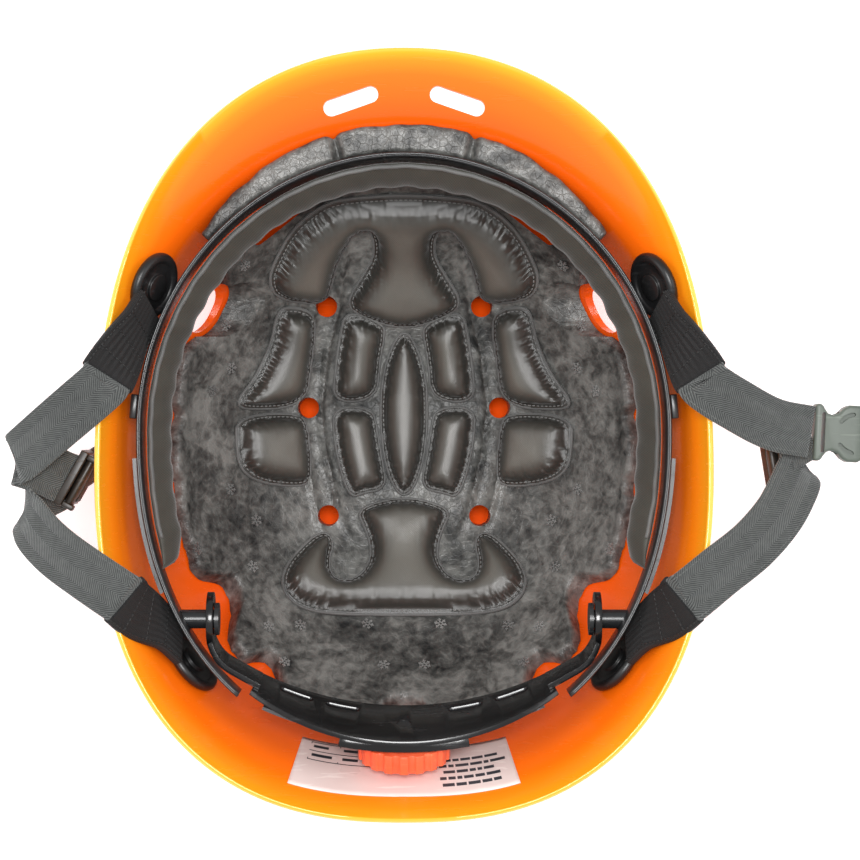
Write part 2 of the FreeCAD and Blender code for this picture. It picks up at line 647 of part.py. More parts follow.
def makeNapeCradle():
    reach = size("napeSpread")
    shape = napeStrip(-reach, reach, lambda a: size("napeLow") + (a / reach) ** 2,
                      lambda a: size("napeLow") + size("napeHeight") - 12 * (a / reach) ** 2,
                      0, size("napeThick"))
    for side in (-1, 1):
        hub = Vector(side * (size("pivotX") - 1.2), size("pivotY"), size("pivotZ"))
        ring = Part.makeCylinder(size("pivotRingRadius"), 2.4, hub, Vector(side, 0, 0))
        path = [Vector(side * 52.8, -92.6, 112.5), Vector(side * 60.4, -88.6, 111.5),
                Vector(side * 67.3, -84.2, 110.2), Vector(side * 71.5, -76.8, 108.6)]
        arm = ribbon(path, [Vector(0, -0.25, 0.97)] * 4, 13.0, 2.2)
        shape = shape.fuse(ring).fuse(arm)
        shape = shape.cut(Part.makeCylinder(size("pivotPinRadius") + size("runningGap"), 12,
                                            hub - Vector(side * 4, 0, 0), Vector(side, 0, 0)))
    for azimuth in (-19.5, -11.0, 11.0, 19.5):
        window = rounded(size("napeSlotLength"), size("napeSlotHeight"), 12)
        lie = Rotation(Vector(0, 0, 1), azimuth).multiply(Rotation(Vector(1, 0, 0), 90))
        window.Placement = Placement(napePoint(azimuth, WHEEL_Z - 8.5, 0), lie)
        shape = shape.cut(window)
    shape = shape.cut(Part.makeCylinder(size("shaftRadius") + size("runningGap"), 6, wheelSeat(-2), WHEEL_OUT))
    return freeform("nape_cradle", shape)


def makePivotPins():
    for side, name in ((-1, "left"), (1, "right")):
        shaft = bound("Cylinder", "shaft_" + name, Radius="Sizes.pivotPinRadius", Height="Sizes.pivotPinLength")
        head = moved(bound("Cylinder", "head_" + name, Radius="Sizes.pivotHeadRadius", Height="Sizes.pivotHeadThick"),
                     z=-size("pivotHeadThick"))
        pin = joined("pivot_pin_" + name, [shaft, head])
        foot = Vector(side * (size("pivotX") - 1.6), size("pivotY"), size("pivotZ"))
        pin.Placement = Placement(foot, along(Vector(side, 0, 0)))
        keep(pin, "pivot_pin_" + name)


def makeRacks():
    """The two curved racks that draw the headband in; one arm passes above the pinion and one below."""
    near = size("napeThick") + size("layerGap")
    far = near + size("rackThick")
    for name, side in (("left", -1), ("right", 1)):
        armLow = PINION_Z + ARM_GAP if side < 0 else PINION_Z - ARM_GAP - size("rackHeight")
        tailLow = WHEEL_Z - 5.0 - side
        tail = napeStrip(*sorted((side * 24.0, side * 11.9)), lambda a: tailLow, lambda a: tailLow + 10.0, near, far)
        arm = napeStrip(*sorted((side * 12.0, -side * 4.0)), lambda a: armLow,
                        lambda a: armLow + size("rackHeight"), near, far)
        freeform("rack_" + name, tail.fuse(arm))


def makeHousing():
    reach, half = size("housingSpread"), size("housingHeight") / 2
    near = size("napeThick") + 2 * size("layerGap") + size("rackThick")
    shape = napeStrip(-reach, reach, lambda a: WHEEL_Z - half, lambda a: WHEEL_Z + half,
                      near, near + size("housingThick"))
    for low, high in ((WHEEL_Z - half, WHEEL_Z - half + 2.6), (WHEEL_Z + half - 2.6, WHEEL_Z + half)):
        shape = shape.fuse(napeStrip(-reach, reach, lambda a: low, lambda a: high,
                                     size("napeThick") + 0.05, near + 0.1))
    shape = shape.cut(Part.makeCylinder(size("shaftRadius") + size("runningGap"), 12, wheelSeat(0), WHEEL_OUT))
    return freeform("adjuster_housing", shape)


WHEEL_START = 5.75                             # the wheel's inner face, from the nape plate's inner face


def makeWheel():
    body = doc.addObject("PartDesign::Body", "adjuster_wheel")
    rim = sketchOn(body, "wheelRim")
    drawCircle(rim, "Sizes.wheelRadius")
    feature(body, "Pad", "wheelPad", rim, "Sizes.wheelThick")
    bore = sketchOn(body, "wheelBore")
    drawCircle(bore, "Sizes.shaftRadius")
    feature(body, "Pocket", "wheelBorePocket", bore)
    flute = sketchOn(body, "wheelFlute")
    drawCircle(flute, "Sizes.fluteRadius", "Sizes.wheelRadius + 0.5")
    first = feature(body, "Pocket", "wheelFlutePocket", flute)
    doc.recompute()
    ring = body.newObject("PartDesign::PolarPattern", "wheelFlutes")
    ring.Originals = [first]
    ring.Axis = (flute, ["N_Axis"])
    ring.Angle = 360
    ring.setExpression("Occurrences", "Sizes.fluteCount")
    body.Tip = ring
    body.Placement = Placement(wheelSeat(WHEEL_START), along(WHEEL_OUT))
    return keep(body, "adjuster_wheel")


def makePinion():
    body = doc.addObject("PartDesign::Body", "pinion")
    gear = sketchOn(body, "pinionRootSketch", lift=2.15)
    drawCircle(gear, "Sizes.pinionRoot")
    feature(body, "Pad", "pinionCore", gear, "1.0 mm")
    shaft = sketchOn(body, "pinionShaft", lift=0.2)
    drawCircle(shaft, "Sizes.shaftRadius")
    feature(body, "Pad", "pinionShaftPad", shaft, "Sizes.wheelThick + 4.5")
    tooth = sketchOn(body, "pinionTooth", lift=2.15)
    drawRectangle(tooth, "Sizes.pinionRadius - 2", "0.9 mm", "2 mm")
    first = feature(body, "Pad", "pinionToothPad", tooth, "1.0 mm")
    doc.recompute()
    ring = body.newObject("PartDesign::PolarPattern", "pinionTeethRing")
    ring.Originals = [first]
    ring.Axis = (tooth, ["N_Axis"])
    ring.Angle = 360
    ring.setExpression("Occurrences", "Sizes.pinionTeeth")
    body.Tip = ring
    body.Placement = Placement(wheelSeat(0), along(WHEEL_OUT))
    return keep(body, "pinion")


def makeHubCap():
    cap = bound("Cylinder", "hub_cap", Radius="Sizes.shaftRadius + 3.2", Height="Sizes.hubCapThick")
    cap.Placement = Placement(wheelSeat(WHEEL_START + size("wheelThick") + 0.02), along(WHEEL_OUT))
    return keep(cap, "hub_cap")


# ---------------------------------------------------------------- build, check and write
makeShell()
makeLiner()
makeCrownPad()
makeHeadband()
makeBrowPad()
makeFrontLiner()
makeBandRails()
makeBandClips()
makeLabel()
for anchorName, (anchorAngle, anchorZ) in ANCHORS.items():
    makeAnchor(anchorName, anchorAngle, anchorZ)
makeRivets()
makeSleeves()
makeWebs()
for dividerName, place in DIVIDERS.items():
    makeDivider(dividerName, *place)
makeFemaleBuckle()
makeMaleBuckle()
makeNapeCradle()
makePivotPins()
makeRacks()
makeHousing()
makeWheel()
makePinion()
makeHubCap()
doc.recompute()

for item in doc.Objects:
    if "Invalid" in item.State or "Error" in item.State:
        raise RuntimeError("%s failed to compute: %s" % (item.Label, item.State))
os.makedirs("parts", exist_ok=True)
for item in parts:
    shape = item.Shape
    if shape.isNull() or not shape.isValid() or shape.Volume <= 0:
        raise RuntimeError("%s is not a good solid" % item.Label)
    shape.exportStep("parts/%s.step" % item.Label)
    print("%-22s %9.1f mm3  solids %d" % (item.Label, shape.Volume, len(shape.Solids)))
print("wrote", len(parts), "sub-parts")
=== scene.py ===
import math
from random import Random

import bmesh
import bpy
import numpy as np
from mathutils import Matrix, Vector, geometry, noise


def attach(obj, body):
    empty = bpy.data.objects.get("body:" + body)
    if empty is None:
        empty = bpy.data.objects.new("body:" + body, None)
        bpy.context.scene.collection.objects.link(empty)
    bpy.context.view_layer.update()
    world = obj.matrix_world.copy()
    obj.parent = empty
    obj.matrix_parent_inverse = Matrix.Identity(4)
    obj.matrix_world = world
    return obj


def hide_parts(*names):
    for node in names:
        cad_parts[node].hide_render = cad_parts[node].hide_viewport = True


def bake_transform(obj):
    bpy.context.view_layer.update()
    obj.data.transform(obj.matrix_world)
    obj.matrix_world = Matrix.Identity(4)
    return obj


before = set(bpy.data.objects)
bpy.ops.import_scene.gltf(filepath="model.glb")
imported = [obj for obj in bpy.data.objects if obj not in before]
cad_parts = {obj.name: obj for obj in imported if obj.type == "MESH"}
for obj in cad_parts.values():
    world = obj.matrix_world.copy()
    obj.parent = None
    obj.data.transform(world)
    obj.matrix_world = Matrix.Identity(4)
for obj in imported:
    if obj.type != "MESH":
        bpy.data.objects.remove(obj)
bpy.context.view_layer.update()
scene = bpy.context.scene
mm = 0.001

# camera, set first so that every look starts from the same view
camera = bpy.data.objects.new("viewCamera", bpy.data.cameras.new("viewCamera"))
scene.collection.objects.link(camera)
camera.location = (0, 0, 1.0)
camera.rotation_euler = (0, 0, 0)
camera.data.lens = 100.8
camera.data.sensor_width = 36
camera.data.shift_x = 0.0302                  # the helmet lies a little left of the middle
scene.camera = camera
scene.view_settings.view_transform = "Standard"


# the dome in millimetres: bowl height, bowl radius, rim flare, where the flare starts, rim height
shellSides = {
    "side": (128, 103, 8.4, 75, 132),
    "front": (122, 113, 27, 99, 119),
    "rear": (140, 124, 16, 92, 142),
}
bowlPower = 2.2
skin = 2.8                                     # shell wall and the gap behind it
linerEnds = (58, 78, 76)                       # where the liner stops at the side, front and rear
bandOval = (96.5, 100.8, 117, 2.0, 2.2)        # headband: side, front and rear, then two powers
ventLook = {"place": (85, 47, 58), "length": 18, "height": 16}


def domeRadius(z, side):
    height, radius, flare, start, rim = shellSides[side]
    sunk = np.clip(1 - (z + 1.0) / height, 0, 1)
    turnedOut = np.clip((z - start) / (rim - start), 0, None)
    return radius * (1 - sunk ** bowlPower) ** (1 / bowlPower) + flare * turnedOut ** 2


def ovalRadius(angle, side, front, rear, frontPower=2.1, rearPower=2.5):
    across, along = np.cos(np.radians(angle)), np.sin(np.radians(angle))
    power = np.where(along >= 0, frontPower, rearPower)
    end = np.where(along >= 0, front, rear)
    return (np.abs(across / side) ** power + np.abs(along / end) ** power) ** (-1 / power)


def shellRadius(angle, z):
    return ovalRadius(angle, domeRadius(z, "side"), domeRadius(z, "front"), domeRadius(z, "rear"))


def rimHeight(angle):
    along = np.sin(np.radians(angle))
    return 132 + (np.where(along >= 0, 119, 142) - 132) * np.abs(along) ** 1.1


def inside(angle, z, depth):
    given = (np.asarray(value, float) for value in (angle, z, depth))
    angle, z, depth = np.broadcast_arrays(*given)
    below = np.maximum(0, z - 0.5)
    slope = (shellRadius(angle, z + 0.5) - shellRadius(angle, below)) / (z + 0.5 - below)
    across, up = 1 / np.hypot(1, slope), slope / np.hypot(1, slope)
    across, up = np.where(z == 0, 0, across), np.where(z == 0, 1, up)
    radius, turn = shellRadius(angle, z) - depth * across, np.radians(angle)
    return np.stack([radius * np.cos(turn), radius * np.sin(turn), z + depth * up], -1)


def ends(angle, side, front, rear):
    along = np.sin(np.radians(angle))
    return side + (np.where(along >= 0, front, rear) - side) * along ** 2


def linerDepth(angle, z):
    return skin + 20 - 15 * np.minimum(1, z / ends(angle, *linerEnds))


def bandPoint(angle, z, offset):
    radius, turn = ovalRadius(angle, *bandOval) + offset, np.radians(angle)
    return np.stack(np.broadcast_arrays(radius * np.cos(turn), radius * np.sin(turn), z), -1)


def bandTop(angle):
    return 118 - 5 * np.sin(np.radians(angle))


def heightTable():                  # height of the liner's inner face above each millimetre of the plan
    step = np.arange(-115.0, 116.0)
    x, y = np.meshgrid(step, step, indexing="ij")
    angle, wanted = np.degrees(np.arctan2(y, x)), np.hypot(x, y)
    low, high = np.zeros_like(x), ends(angle, *linerEnds) + 25
    for _ in range(26):
        middle = (low + high) / 2
        point = inside(angle, middle, linerDepth(angle, middle))
        outside = np.hypot(point[..., 0], point[..., 1]) < wanted
        low, high = np.where(outside, middle, low), np.where(outside, high, middle)
    return inside(angle, np.maximum(low, 0.001), linerDepth(angle, low))[..., 2]


linerTable = heightTable()


def linerHeight(x, y):
    x, y = np.clip(x, -114, 114) + 115, np.clip(y, -114, 114) + 115
    i, j = x.astype(int), y.astype(int)
    u, v = x - i, y - j
    near = linerTable[i, j] * (1 - u) + linerTable[i + 1, j] * u
    far = linerTable[i, j + 1] * (1 - u) + linerTable[i + 1, j + 1] * u
    return near * (1 - v) + far * v


def onLiner(x, y, lift):             # points that far off the liner's inner face, measured square to it
    x, y = np.asarray(x, float), np.asarray(y, float)
    facing = np.stack([linerHeight(x - 1, y) - linerHeight(x + 1, y),
                       linerHeight(x, y - 1) - linerHeight(x, y + 1), np.full_like(x, 2.0)], -1)
    facing /= np.linalg.norm(facing, axis=-1, keepdims=True)
    base = np.stack([x, y, linerHeight(x, y)], -1)
    return base + facing * np.asarray(lift)[..., None], facing


def meshObject(name, points, faces, *materials, smooth=True, edges=()):
    mesh = bpy.data.meshes.new(name)
    mesh.from_pydata((np.asarray(points, float) * mm).tolist(), list(edges), list(faces))
    mesh.validate()
    made = bpy.data.objects.new(name, mesh)
    scene.collection.objects.link(made)
    for material in materials:
        mesh.materials.append(material)
    if smooth and mesh.polygons:
        mesh.shade_smooth()
    return made


def remember(obj, name, values):
    values = np.asarray(values, np.float32)
    attribute = obj.data.attributes.new(name, "FLOAT", "POINT")
    attribute.data.foreach_set("value", values.ravel())


def setUv(obj, coordinates):                      # one UV pair for each vertex
    layer = obj.data.uv_layers.new(name="UVMap")
    loops = np.empty(len(obj.data.loops), np.int32)
    obj.data.loops.foreach_get("vertex_index", loops)
    layer.data.foreach_set("uv", np.asarray(coordinates, np.float32)[loops].ravel())


def gridFaces(rows, columns, around=False):
    last = columns if around else columns - 1
    return [(r * columns + c, r * columns + (c + 1) % columns,
             (r + 1) * columns + (c + 1) % columns, (r + 1) * columns + c)
            for r in range(rows - 1) for c in range(last)]


def turned(name, rows, *materials):
    # a closed body from rings of points, each ring running the same way round, with both ends capped
    count = len(rows[0])
    points = np.concatenate(list(rows) + [rows[0].mean(0)[None], rows[-1].mean(0)[None]])
    first, last = len(points) - 2, len(points) - 1
    faces = gridFaces(len(rows), count, True)
    lead = (len(rows) - 1) * count
    faces += [(first, (c + 1) % count, c) for c in range(count)]
    faces += [(last, lead + c, lead + (c + 1) % count) for c in range(count)]
    return outward(meshObject(name, points, faces, *materials))


def outward(obj):
    work = bmesh.new()
    work.from_mesh(obj.data)
    bmesh.ops.recalc_face_normals(work, faces=work.faces)
    work.to_mesh(obj.data)
    work.free()
    return obj


def joinAll(name, objects):                     # one object from several; it keeps their material slots
    keeper = objects[0]
    chosen = {"selected_objects": objects, "selected_editable_objects": objects}
    with bpy.context.temp_override(active_object=keeper, **chosen):
        bpy.ops.object.join()
    keeper.name = name
    keeper.data.name = name
    return keeper


def applied(obj):                                 # the object's mesh with its modifiers worked in
    graph = bpy.context.evaluated_depsgraph_get()
    seen = obj.evaluated_get(graph)
    mesh = bpy.data.meshes.new_from_object(seen, preserve_all_data_layers=True, depsgraph=graph)
    obj.modifiers.clear()
    obj.data = mesh
    mesh.name = obj.name
    return obj


def cutBy(obj, cutters):
    bpy.context.view_layer.update()
    tool = joinAll("cutter", cutters)
    cut = obj.modifiers.new("cut", "BOOLEAN")
    cut.object, cut.operation, cut.solver = tool, "DIFFERENCE", "MANIFOLD"
    applied(obj)
    bpy.data.objects.remove(tool)


def softened(obj, bevel, segments, angle):
    soften = obj.modifiers.new("soften", "BEVEL")
    soften.width, soften.segments, soften.limit_method = bevel * mm, segments, "ANGLE"
    soften.angle_limit = math.radians(angle)
    applied(obj)


def placed(obj, place, *turns):
    matrix = Matrix.Translation(Vector(place) * mm)
    for degrees, axis in turns:
        matrix = matrix @ Matrix.Rotation(math.radians(degrees), 4, axis)
    obj.matrix_world = matrix
    return obj


def bakePlace(obj):
    bpy.context.view_layer.update()
    obj.data.transform(obj.matrix_world)
    obj.matrix_world = Matrix.Identity(4)


def smoothShade(obj, sharpAngle):
    obj.data.shade_smooth()
    obj.data.set_sharp_from_angle(angle=math.radians(sharpAngle))


def fastened(body, slotName, *pieces):
    for piece in pieces:
        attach(piece, body)


def smoothPath(points, perStep=8):                # a Catmull-Rom line through points
    points = np.asarray(points, float)
    padded = np.vstack([2 * points[0] - points[1], points, 2 * points[-1] - points[-2]])
    made = []
    for k in range(len(points) - 1):
        a, b, c, d = padded[k:k + 4]
        for t in np.arange(perStep) / perStep:
            made.append(0.5 * (2 * b + (c - a) * t + (2 * a - 5 * b + 4 * c - d) * t * t
                               + (3 * b - a - 3 * c + d) * t ** 3))
    return np.array(made + [points[-1]])


def rounded(outline, times=3):                    # corner cutting of a closed outline
    for _ in range(times):
        ahead = np.roll(outline, -1, axis=0)
        pairs = np.stack([0.75 * outline + 0.25 * ahead, 0.25 * outline + 0.75 * ahead], 1)
        outline = pairs.reshape(-1, outline.shape[1])
    return outline


def resampled(outline, step):                     # even steps along a closed outline
    loop = np.vstack([outline, outline[:1]])
    reach = np.concatenate([[0], np.cumsum(np.linalg.norm(np.diff(loop, axis=0), axis=1))])
    places = np.linspace(0, reach[-1], max(8, int(reach[-1] / step)), endpoint=False)
    return np.stack([np.interp(places, reach, loop[:, k]) for k in range(loop.shape[1])], 1)


def crossSection(width, thick, corner, steps=4):
    # a rectangle with rounded corners, as pairs across and through
    made = []
    for sx, sy, start in ((1, 1, 0), (-1, 1, 90), (-1, -1, 180), (1, -1, 270)):
        for turn in np.radians(np.linspace(start, start + 90, steps + 1)):
            made.append((sx * (width / 2 - corner) + corner * math.cos(turn),
                         sy * (thick / 2 - corner) + corner * math.sin(turn)))
    return np.array(made)


def sweep(name, path, across, section, *materials, perStep=8):
    # a strip along a path; across is its width direction at each point, and its UV is in millimetres
    line, sides = smoothPath(path, perStep), smoothPath(across, perStep)
    sides /= np.linalg.norm(sides, axis=1, keepdims=True)
    ahead = np.gradient(line, axis=0)
    through = np.cross(ahead, sides)
    through /= np.linalg.norm(through, axis=1, keepdims=True)
    sides = np.cross(through, ahead)
    sides /= np.linalg.norm(sides, axis=1, keepdims=True)
    rings = line[:, None] + sides[:, None] * section[None, :, 0:1] + through[:, None] * section[None, :, 1:2]
    made = turned(name, list(rings), *materials)
    reach = np.concatenate([[0], np.cumsum(np.linalg.norm(np.diff(line, axis=0), axis=1))])
    uv = np.stack(np.broadcast_arrays(section[None, :, 0], reach[:, None]), -1).reshape(-1, 2)
    setUv(made, np.vstack([uv, [[0, reach[0]], [0, reach[-1]]]]))
    return made, line, sides, through


def tube(name, points, radius, *materials, closed=False, sides=8):  # a thin round cord along points
    points = np.asarray(points, float)
    if closed:
        ahead = np.roll(points, -1, axis=0) - np.roll(points, 1, axis=0)
    else:
        ahead = np.gradient(points, axis=0)
    ahead /= np.linalg.norm(ahead, axis=1, keepdims=True)
    first = np.cross(ahead, [0.0, 0.0, 1.0])
    first /= np.maximum(1e-9, np.linalg.norm(first, axis=1, keepdims=True))
    second = np.cross(ahead, first)
    turn = np.linspace(0, 2 * math.pi, sides, endpoint=False)
    rings = (points[:, None] + first[:, None] * np.cos(turn)[None, :, None] * radius
             + second[:, None] * np.sin(turn)[None, :, None] * radius)
    if closed:
        flat = rings.reshape(-1, 3)
        faces = gridFaces(len(points), sides, True)
        lead = (len(points) - 1) * sides
        faces += [(lead + c, lead + (c + 1) % sides, (c + 1) % sides, c) for c in range(sides)]
        return outward(meshObject(name, flat, faces, *materials))
    return turned(name, list(rings), *materials)


def boxOutline(length, width):
    x, y = length / 2, width / 2
    return np.array([(-x, -y), (x, -y), (x, y), (-x, y)], float)


def prism(name, outline, height, corner=0.0):
    # an upright prism on an outline; corner rounds the outline's corners
    if corner:
        half = np.abs(outline).max(0) - corner
        outline = np.array([(sx * half[0] + corner * math.cos(a), sy * half[1] + corner * math.sin(a))
                            for sx, sy, start in ((1, 1, 0), (-1, 1, 90), (-1, -1, 180), (1, -1, 270))
                            for a in np.radians(np.linspace(start, start + 90, 8))])
    count = len(outline)
    points = [(*p, z) for z in (-height / 2, height / 2) for p in outline]
    faces = [tuple(range(count))[::-1], tuple(range(count, 2 * count))]
    faces += [(k, (k + 1) % count, count + (k + 1) % count, count + k) for k in range(count)]
    return outward(meshObject(name, points, faces, smooth=False))


def fromCad(name, node, material, bevel):         # a softened copy of a CAD node, which it stands for
    made = bpy.data.objects.new(name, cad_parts[node].data.copy())
    scene.collection.objects.link(made)
    made.data.materials.clear()
    made.data.materials.append(material)
    work = bmesh.new()
    work.from_mesh(made.data)
    bmesh.ops.remove_doubles(work, verts=work.verts, dist=2e-6)
    bmesh.ops.dissolve_limit(work, angle_limit=math.radians(1.5), verts=work.verts, edges=work.edges)
    bmesh.ops.recalc_face_normals(work, faces=work.faces)
    work.to_mesh(made.data)
    work.free()
    softened(made, bevel, 2, 35)
    smoothShade(made, 40)
    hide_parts(node)
    return made


def put(tree, kind, values=None, **settings):
    node = tree.nodes.new(kind)
    for key, value in settings.items():
        setattr(node, key, value)
    for key, value in (values or {}).items():
        if isinstance(value, bpy.types.NodeSocket):
            tree.links.new(value, node.inputs[key])
        else:
            node.inputs[key].default_value = value
    return node


def ramp(tree, factor, *stops):
    node = put(tree, "ShaderNodeValToRGB", {"Fac": factor})
    points = node.color_ramp.elements
    while len(points) < len(stops):
        points.new(0.5)
    for point, (place, colour) in zip(points, stops):
        point.position = place
        point.color = (*colour, 1)
    return node.outputs["Color"]


def spread(tree, factor, fromLow, fromHigh, low, high):
    node = put(tree, "ShaderNodeMapRange", {"Value": factor, "From Min": fromLow, "From Max": fromHigh,
                                            "To Min": low, "To Max": high})
    return node.outputs["Result"]


def maths(tree, operation, first, second=0.0):
    node = put(tree, "ShaderNodeMath", operation=operation)
    for socket, value in zip(node.inputs, (first, second)):
        if isinstance(value, bpy.types.NodeSocket):
            tree.links.new(value, socket)
        else:
            socket.default_value = value
    return node.outputs["Value"]


def cloudy(tree, place, scale, detail, roughness=0.5, distortion=0.0):
    node = put(tree, "ShaderNodeTexNoise", {"Vector": place, "Scale": scale, "Detail": detail,
                                            "Roughness": roughness, "Distortion": distortion})
    return node.outputs["Fac"]


def groupTree(name, inputs, outputs):
    tree = bpy.data.node_groups.new(name, "ShaderNodeTree")
    kinds = {"float": "NodeSocketFloat", "vector": "NodeSocketVector", "color": "NodeSocketColor"}
    for label, kind, value in inputs:
        socket = tree.interface.new_socket(label, in_out="INPUT", socket_type=kinds[kind])
        if value is not None:
            socket.default_value = value
    for label, kind in outputs:
        tree.interface.new_socket(label, in_out="OUTPUT", socket_type=kinds[kind])
    return tree, tree.nodes.new("NodeGroupInput").outputs, tree.nodes.new("NodeGroupOutput").inputs


def wearGroup():                                  # fine scratches and handling marks for plastic
    tree, given, result = groupTree("wear", [("Place", "vector", None), ("Scale", "float", 60.0)],
                                    [("Mask", "float"), ("Height", "float")])
    grain = cloudy(tree, given["Place"], given["Scale"], 6.0, 0.65)
    stretched = put(tree, "ShaderNodeMapping", {"Vector": given["Place"], "Scale": (1.0, 14.0, 3.0),
                                                "Rotation": (0.3, 0.2, 0.7)})
    lines = cloudy(tree, stretched.outputs["Vector"], given["Scale"], 4.0)
    mask = maths(tree, "MULTIPLY", spread(tree, lines, 0.60, 0.68, 0.0, 1.0), grain)
    tree.links.new(mask, result["Mask"])
    height = maths(tree, "SUBTRACT", maths(tree, "MULTIPLY", grain, 0.4), mask)
    tree.links.new(height, result["Height"])
    return tree


def herringboneGroup():
    # herringbone webbing: ridges that slant one way, then the other, across the strap
    tree, given, result = groupTree("herringbone", [("Place", "vector", None), ("Column", "float", 3.0),
                                                    ("Pitch", "float", 1.1)],
                                    [("Mask", "float"), ("Height", "float")])
    apart = put(tree, "ShaderNodeSeparateXYZ", {"Vector": given["Place"]})
    across = maths(tree, "DIVIDE", apart.outputs["X"], given["Column"])
    zigzag = maths(tree, "PINGPONG", across, 1.0)
    slanted = maths(tree, "ADD", maths(tree, "MULTIPLY", zigzag, given["Column"]), apart.outputs["Y"])
    turns = maths(tree, "DIVIDE", slanted, given["Pitch"])
    wave = maths(tree, "SINE", maths(tree, "MULTIPLY", turns, 6.2832))
    threads = maths(tree, "SINE", maths(tree, "MULTIPLY", apart.outputs["X"], 14.0))
    height = maths(tree, "ADD", wave, maths(tree, "MULTIPLY", threads, 0.25))
    tree.links.new(height, result["Height"])
    tree.links.new(spread(tree, wave, -1.0, 1.0, 0.0, 1.0), result["Mask"])
    return tree


def knitGroup():              # fine crossed threads, from two waves at right angles, broken up by noise
    tree, given, result = groupTree("knit", [("Place", "vector", None), ("Pitch", "float", 0.0007)],
                                    [("Mask", "float"), ("Height", "float")])
    apart = put(tree, "ShaderNodeSeparateXYZ", {"Vector": given["Place"]})
    turns = maths(tree, "DIVIDE", 6.2832, given["Pitch"])
    waves = []
    for axis in "XY":
        waves.append(maths(tree, "SINE", maths(tree, "MULTIPLY", apart.outputs[axis], turns)))
    crossed = maths(tree, "MULTIPLY", *waves)
    height = maths(tree, "ADD", crossed, cloudy(tree, given["Place"], 900.0, 2.0))
    tree.links.new(height, result["Height"])
    tree.links.new(spread(tree, crossed, -1.0, 1.0, 0.0, 1.0), result["Mask"])
    return tree


wear, herringbone, knit = wearGroup(), herringboneGroup(), knitGroup()


def useGroup(tree, group, values):
    return put(tree, "ShaderNodeGroup", values, node_tree=group).outputs


def newMaterial(name, **constants):
    # a material with its tree, its Principled shader and object coordinates
    material = bpy.data.materials.new(name)
    material.use_nodes = True
    tree = material.node_tree
    shader = tree.nodes["Principled BSDF"]
    for key, value in constants.items():
        shader.inputs[key.replace("_", " ")].default_value = value
    place = put(tree, "ShaderNodeTexCoord").outputs["Object"]
    return material, tree, shader.inputs, place


def bumpy(tree, target, height, strength, distance):
    bump = put(tree, "ShaderNodeBump", {"Height": height, "Strength": strength, "Distance": distance})
    tree.links.new(bump.outputs["Normal"], target["Normal"])


def plastic(name, dark, light, rough, scale=60.0, bump=0.15, **constants):
    # moulded plastic: slight colour drift, handling marks and a fine mould grain
    material, tree, target, place = newMaterial(name, **constants)
    marks = useGroup(tree, wear, {"Place": place, "Scale": scale})
    cloud = maths(tree, "MULTIPLY", cloudy(tree, place, 25.0, 5.0), 0.75)
    drift = maths(tree, "ADD", cloud, maths(tree, "MULTIPLY", marks["Mask"], 0.5))
    tree.links.new(ramp(tree, drift, (0.25, dark), (0.6, light)), target["Base Color"])
    tree.links.new(spread(tree, drift, 0.2, 0.8, rough - 0.06, rough + 0.12), target["Roughness"])
    bumpy(tree, target, marks["Height"], bump, 0.0002)
    return material


def fabric(name, dark, light, rough, pitch=0.0007, strength=0.35, **constants):
    # fine cloth: knitted threads over soft folds
    material, tree, target, place = newMaterial(name, **constants)
    threads = useGroup(tree, knit, {"Place": place, "Pitch": pitch})
    cloud = maths(tree, "MULTIPLY", cloudy(tree, place, 40.0, 6.0, 0.6), 0.7)
    shade = maths(tree, "ADD", cloud, maths(tree, "MULTIPLY", threads["Mask"], 0.3))
    tree.links.new(ramp(tree, shade, (0.3, dark), (0.7, light)), target["Base Color"])
    tree.links.new(spread(tree, shade, 0.2, 0.8, rough + 0.08, rough - 0.06), target["Roughness"])
    creases = cloudy(tree, place, 120.0, 3.0)
    height = maths(tree, "ADD", maths(tree, "MULTIPLY", threads["Height"], 0.25), creases)
    bumpy(tree, target, height, strength, 0.0003)
    return material


def shellMaterial():
    # orange shell: darker in the bowl, yellow and glowing towards the rim where light comes through
    material, tree, target, place = newMaterial("shellOrange", IOR=1.5, Coat_Roughness=0.12)
    rimward = put(tree, "ShaderNodeAttribute", attribute_name="rimward").outputs["Fac"]
    cloud = cloudy(tree, place, 14.0, 3.0)
    drift = maths(tree, "ADD", rimward, maths(tree, "MULTIPLY", maths(tree, "SUBTRACT", cloud, 0.5), 0.04))
    colour = ramp(tree, drift, (0.0, (0.86, 0.075, 0.003)), (0.5, (0.98, 0.125, 0.003)),
                  (0.76, (1.0, 0.165, 0.004)), (0.88, (1.0, 0.25, 0.006)), (0.95, (1.0, 0.38, 0.010)),
                  (1.0, (1.0, 0.62, 0.10)))
    tree.links.new(colour, target["Base Color"])
    tree.links.new(colour, target["Emission Color"])
    target["Emission Strength"].default_value = 0.10
    marks = useGroup(tree, wear, {"Place": place, "Scale": 45.0})
    tree.links.new(spread(tree, marks["Mask"], 0.0, 0.6, 0.22, 0.38), target["Roughness"])
    target["Coat Weight"].default_value = 0.25
    bumpy(tree, target, marks["Height"], 0.08, 0.0002)
    return material


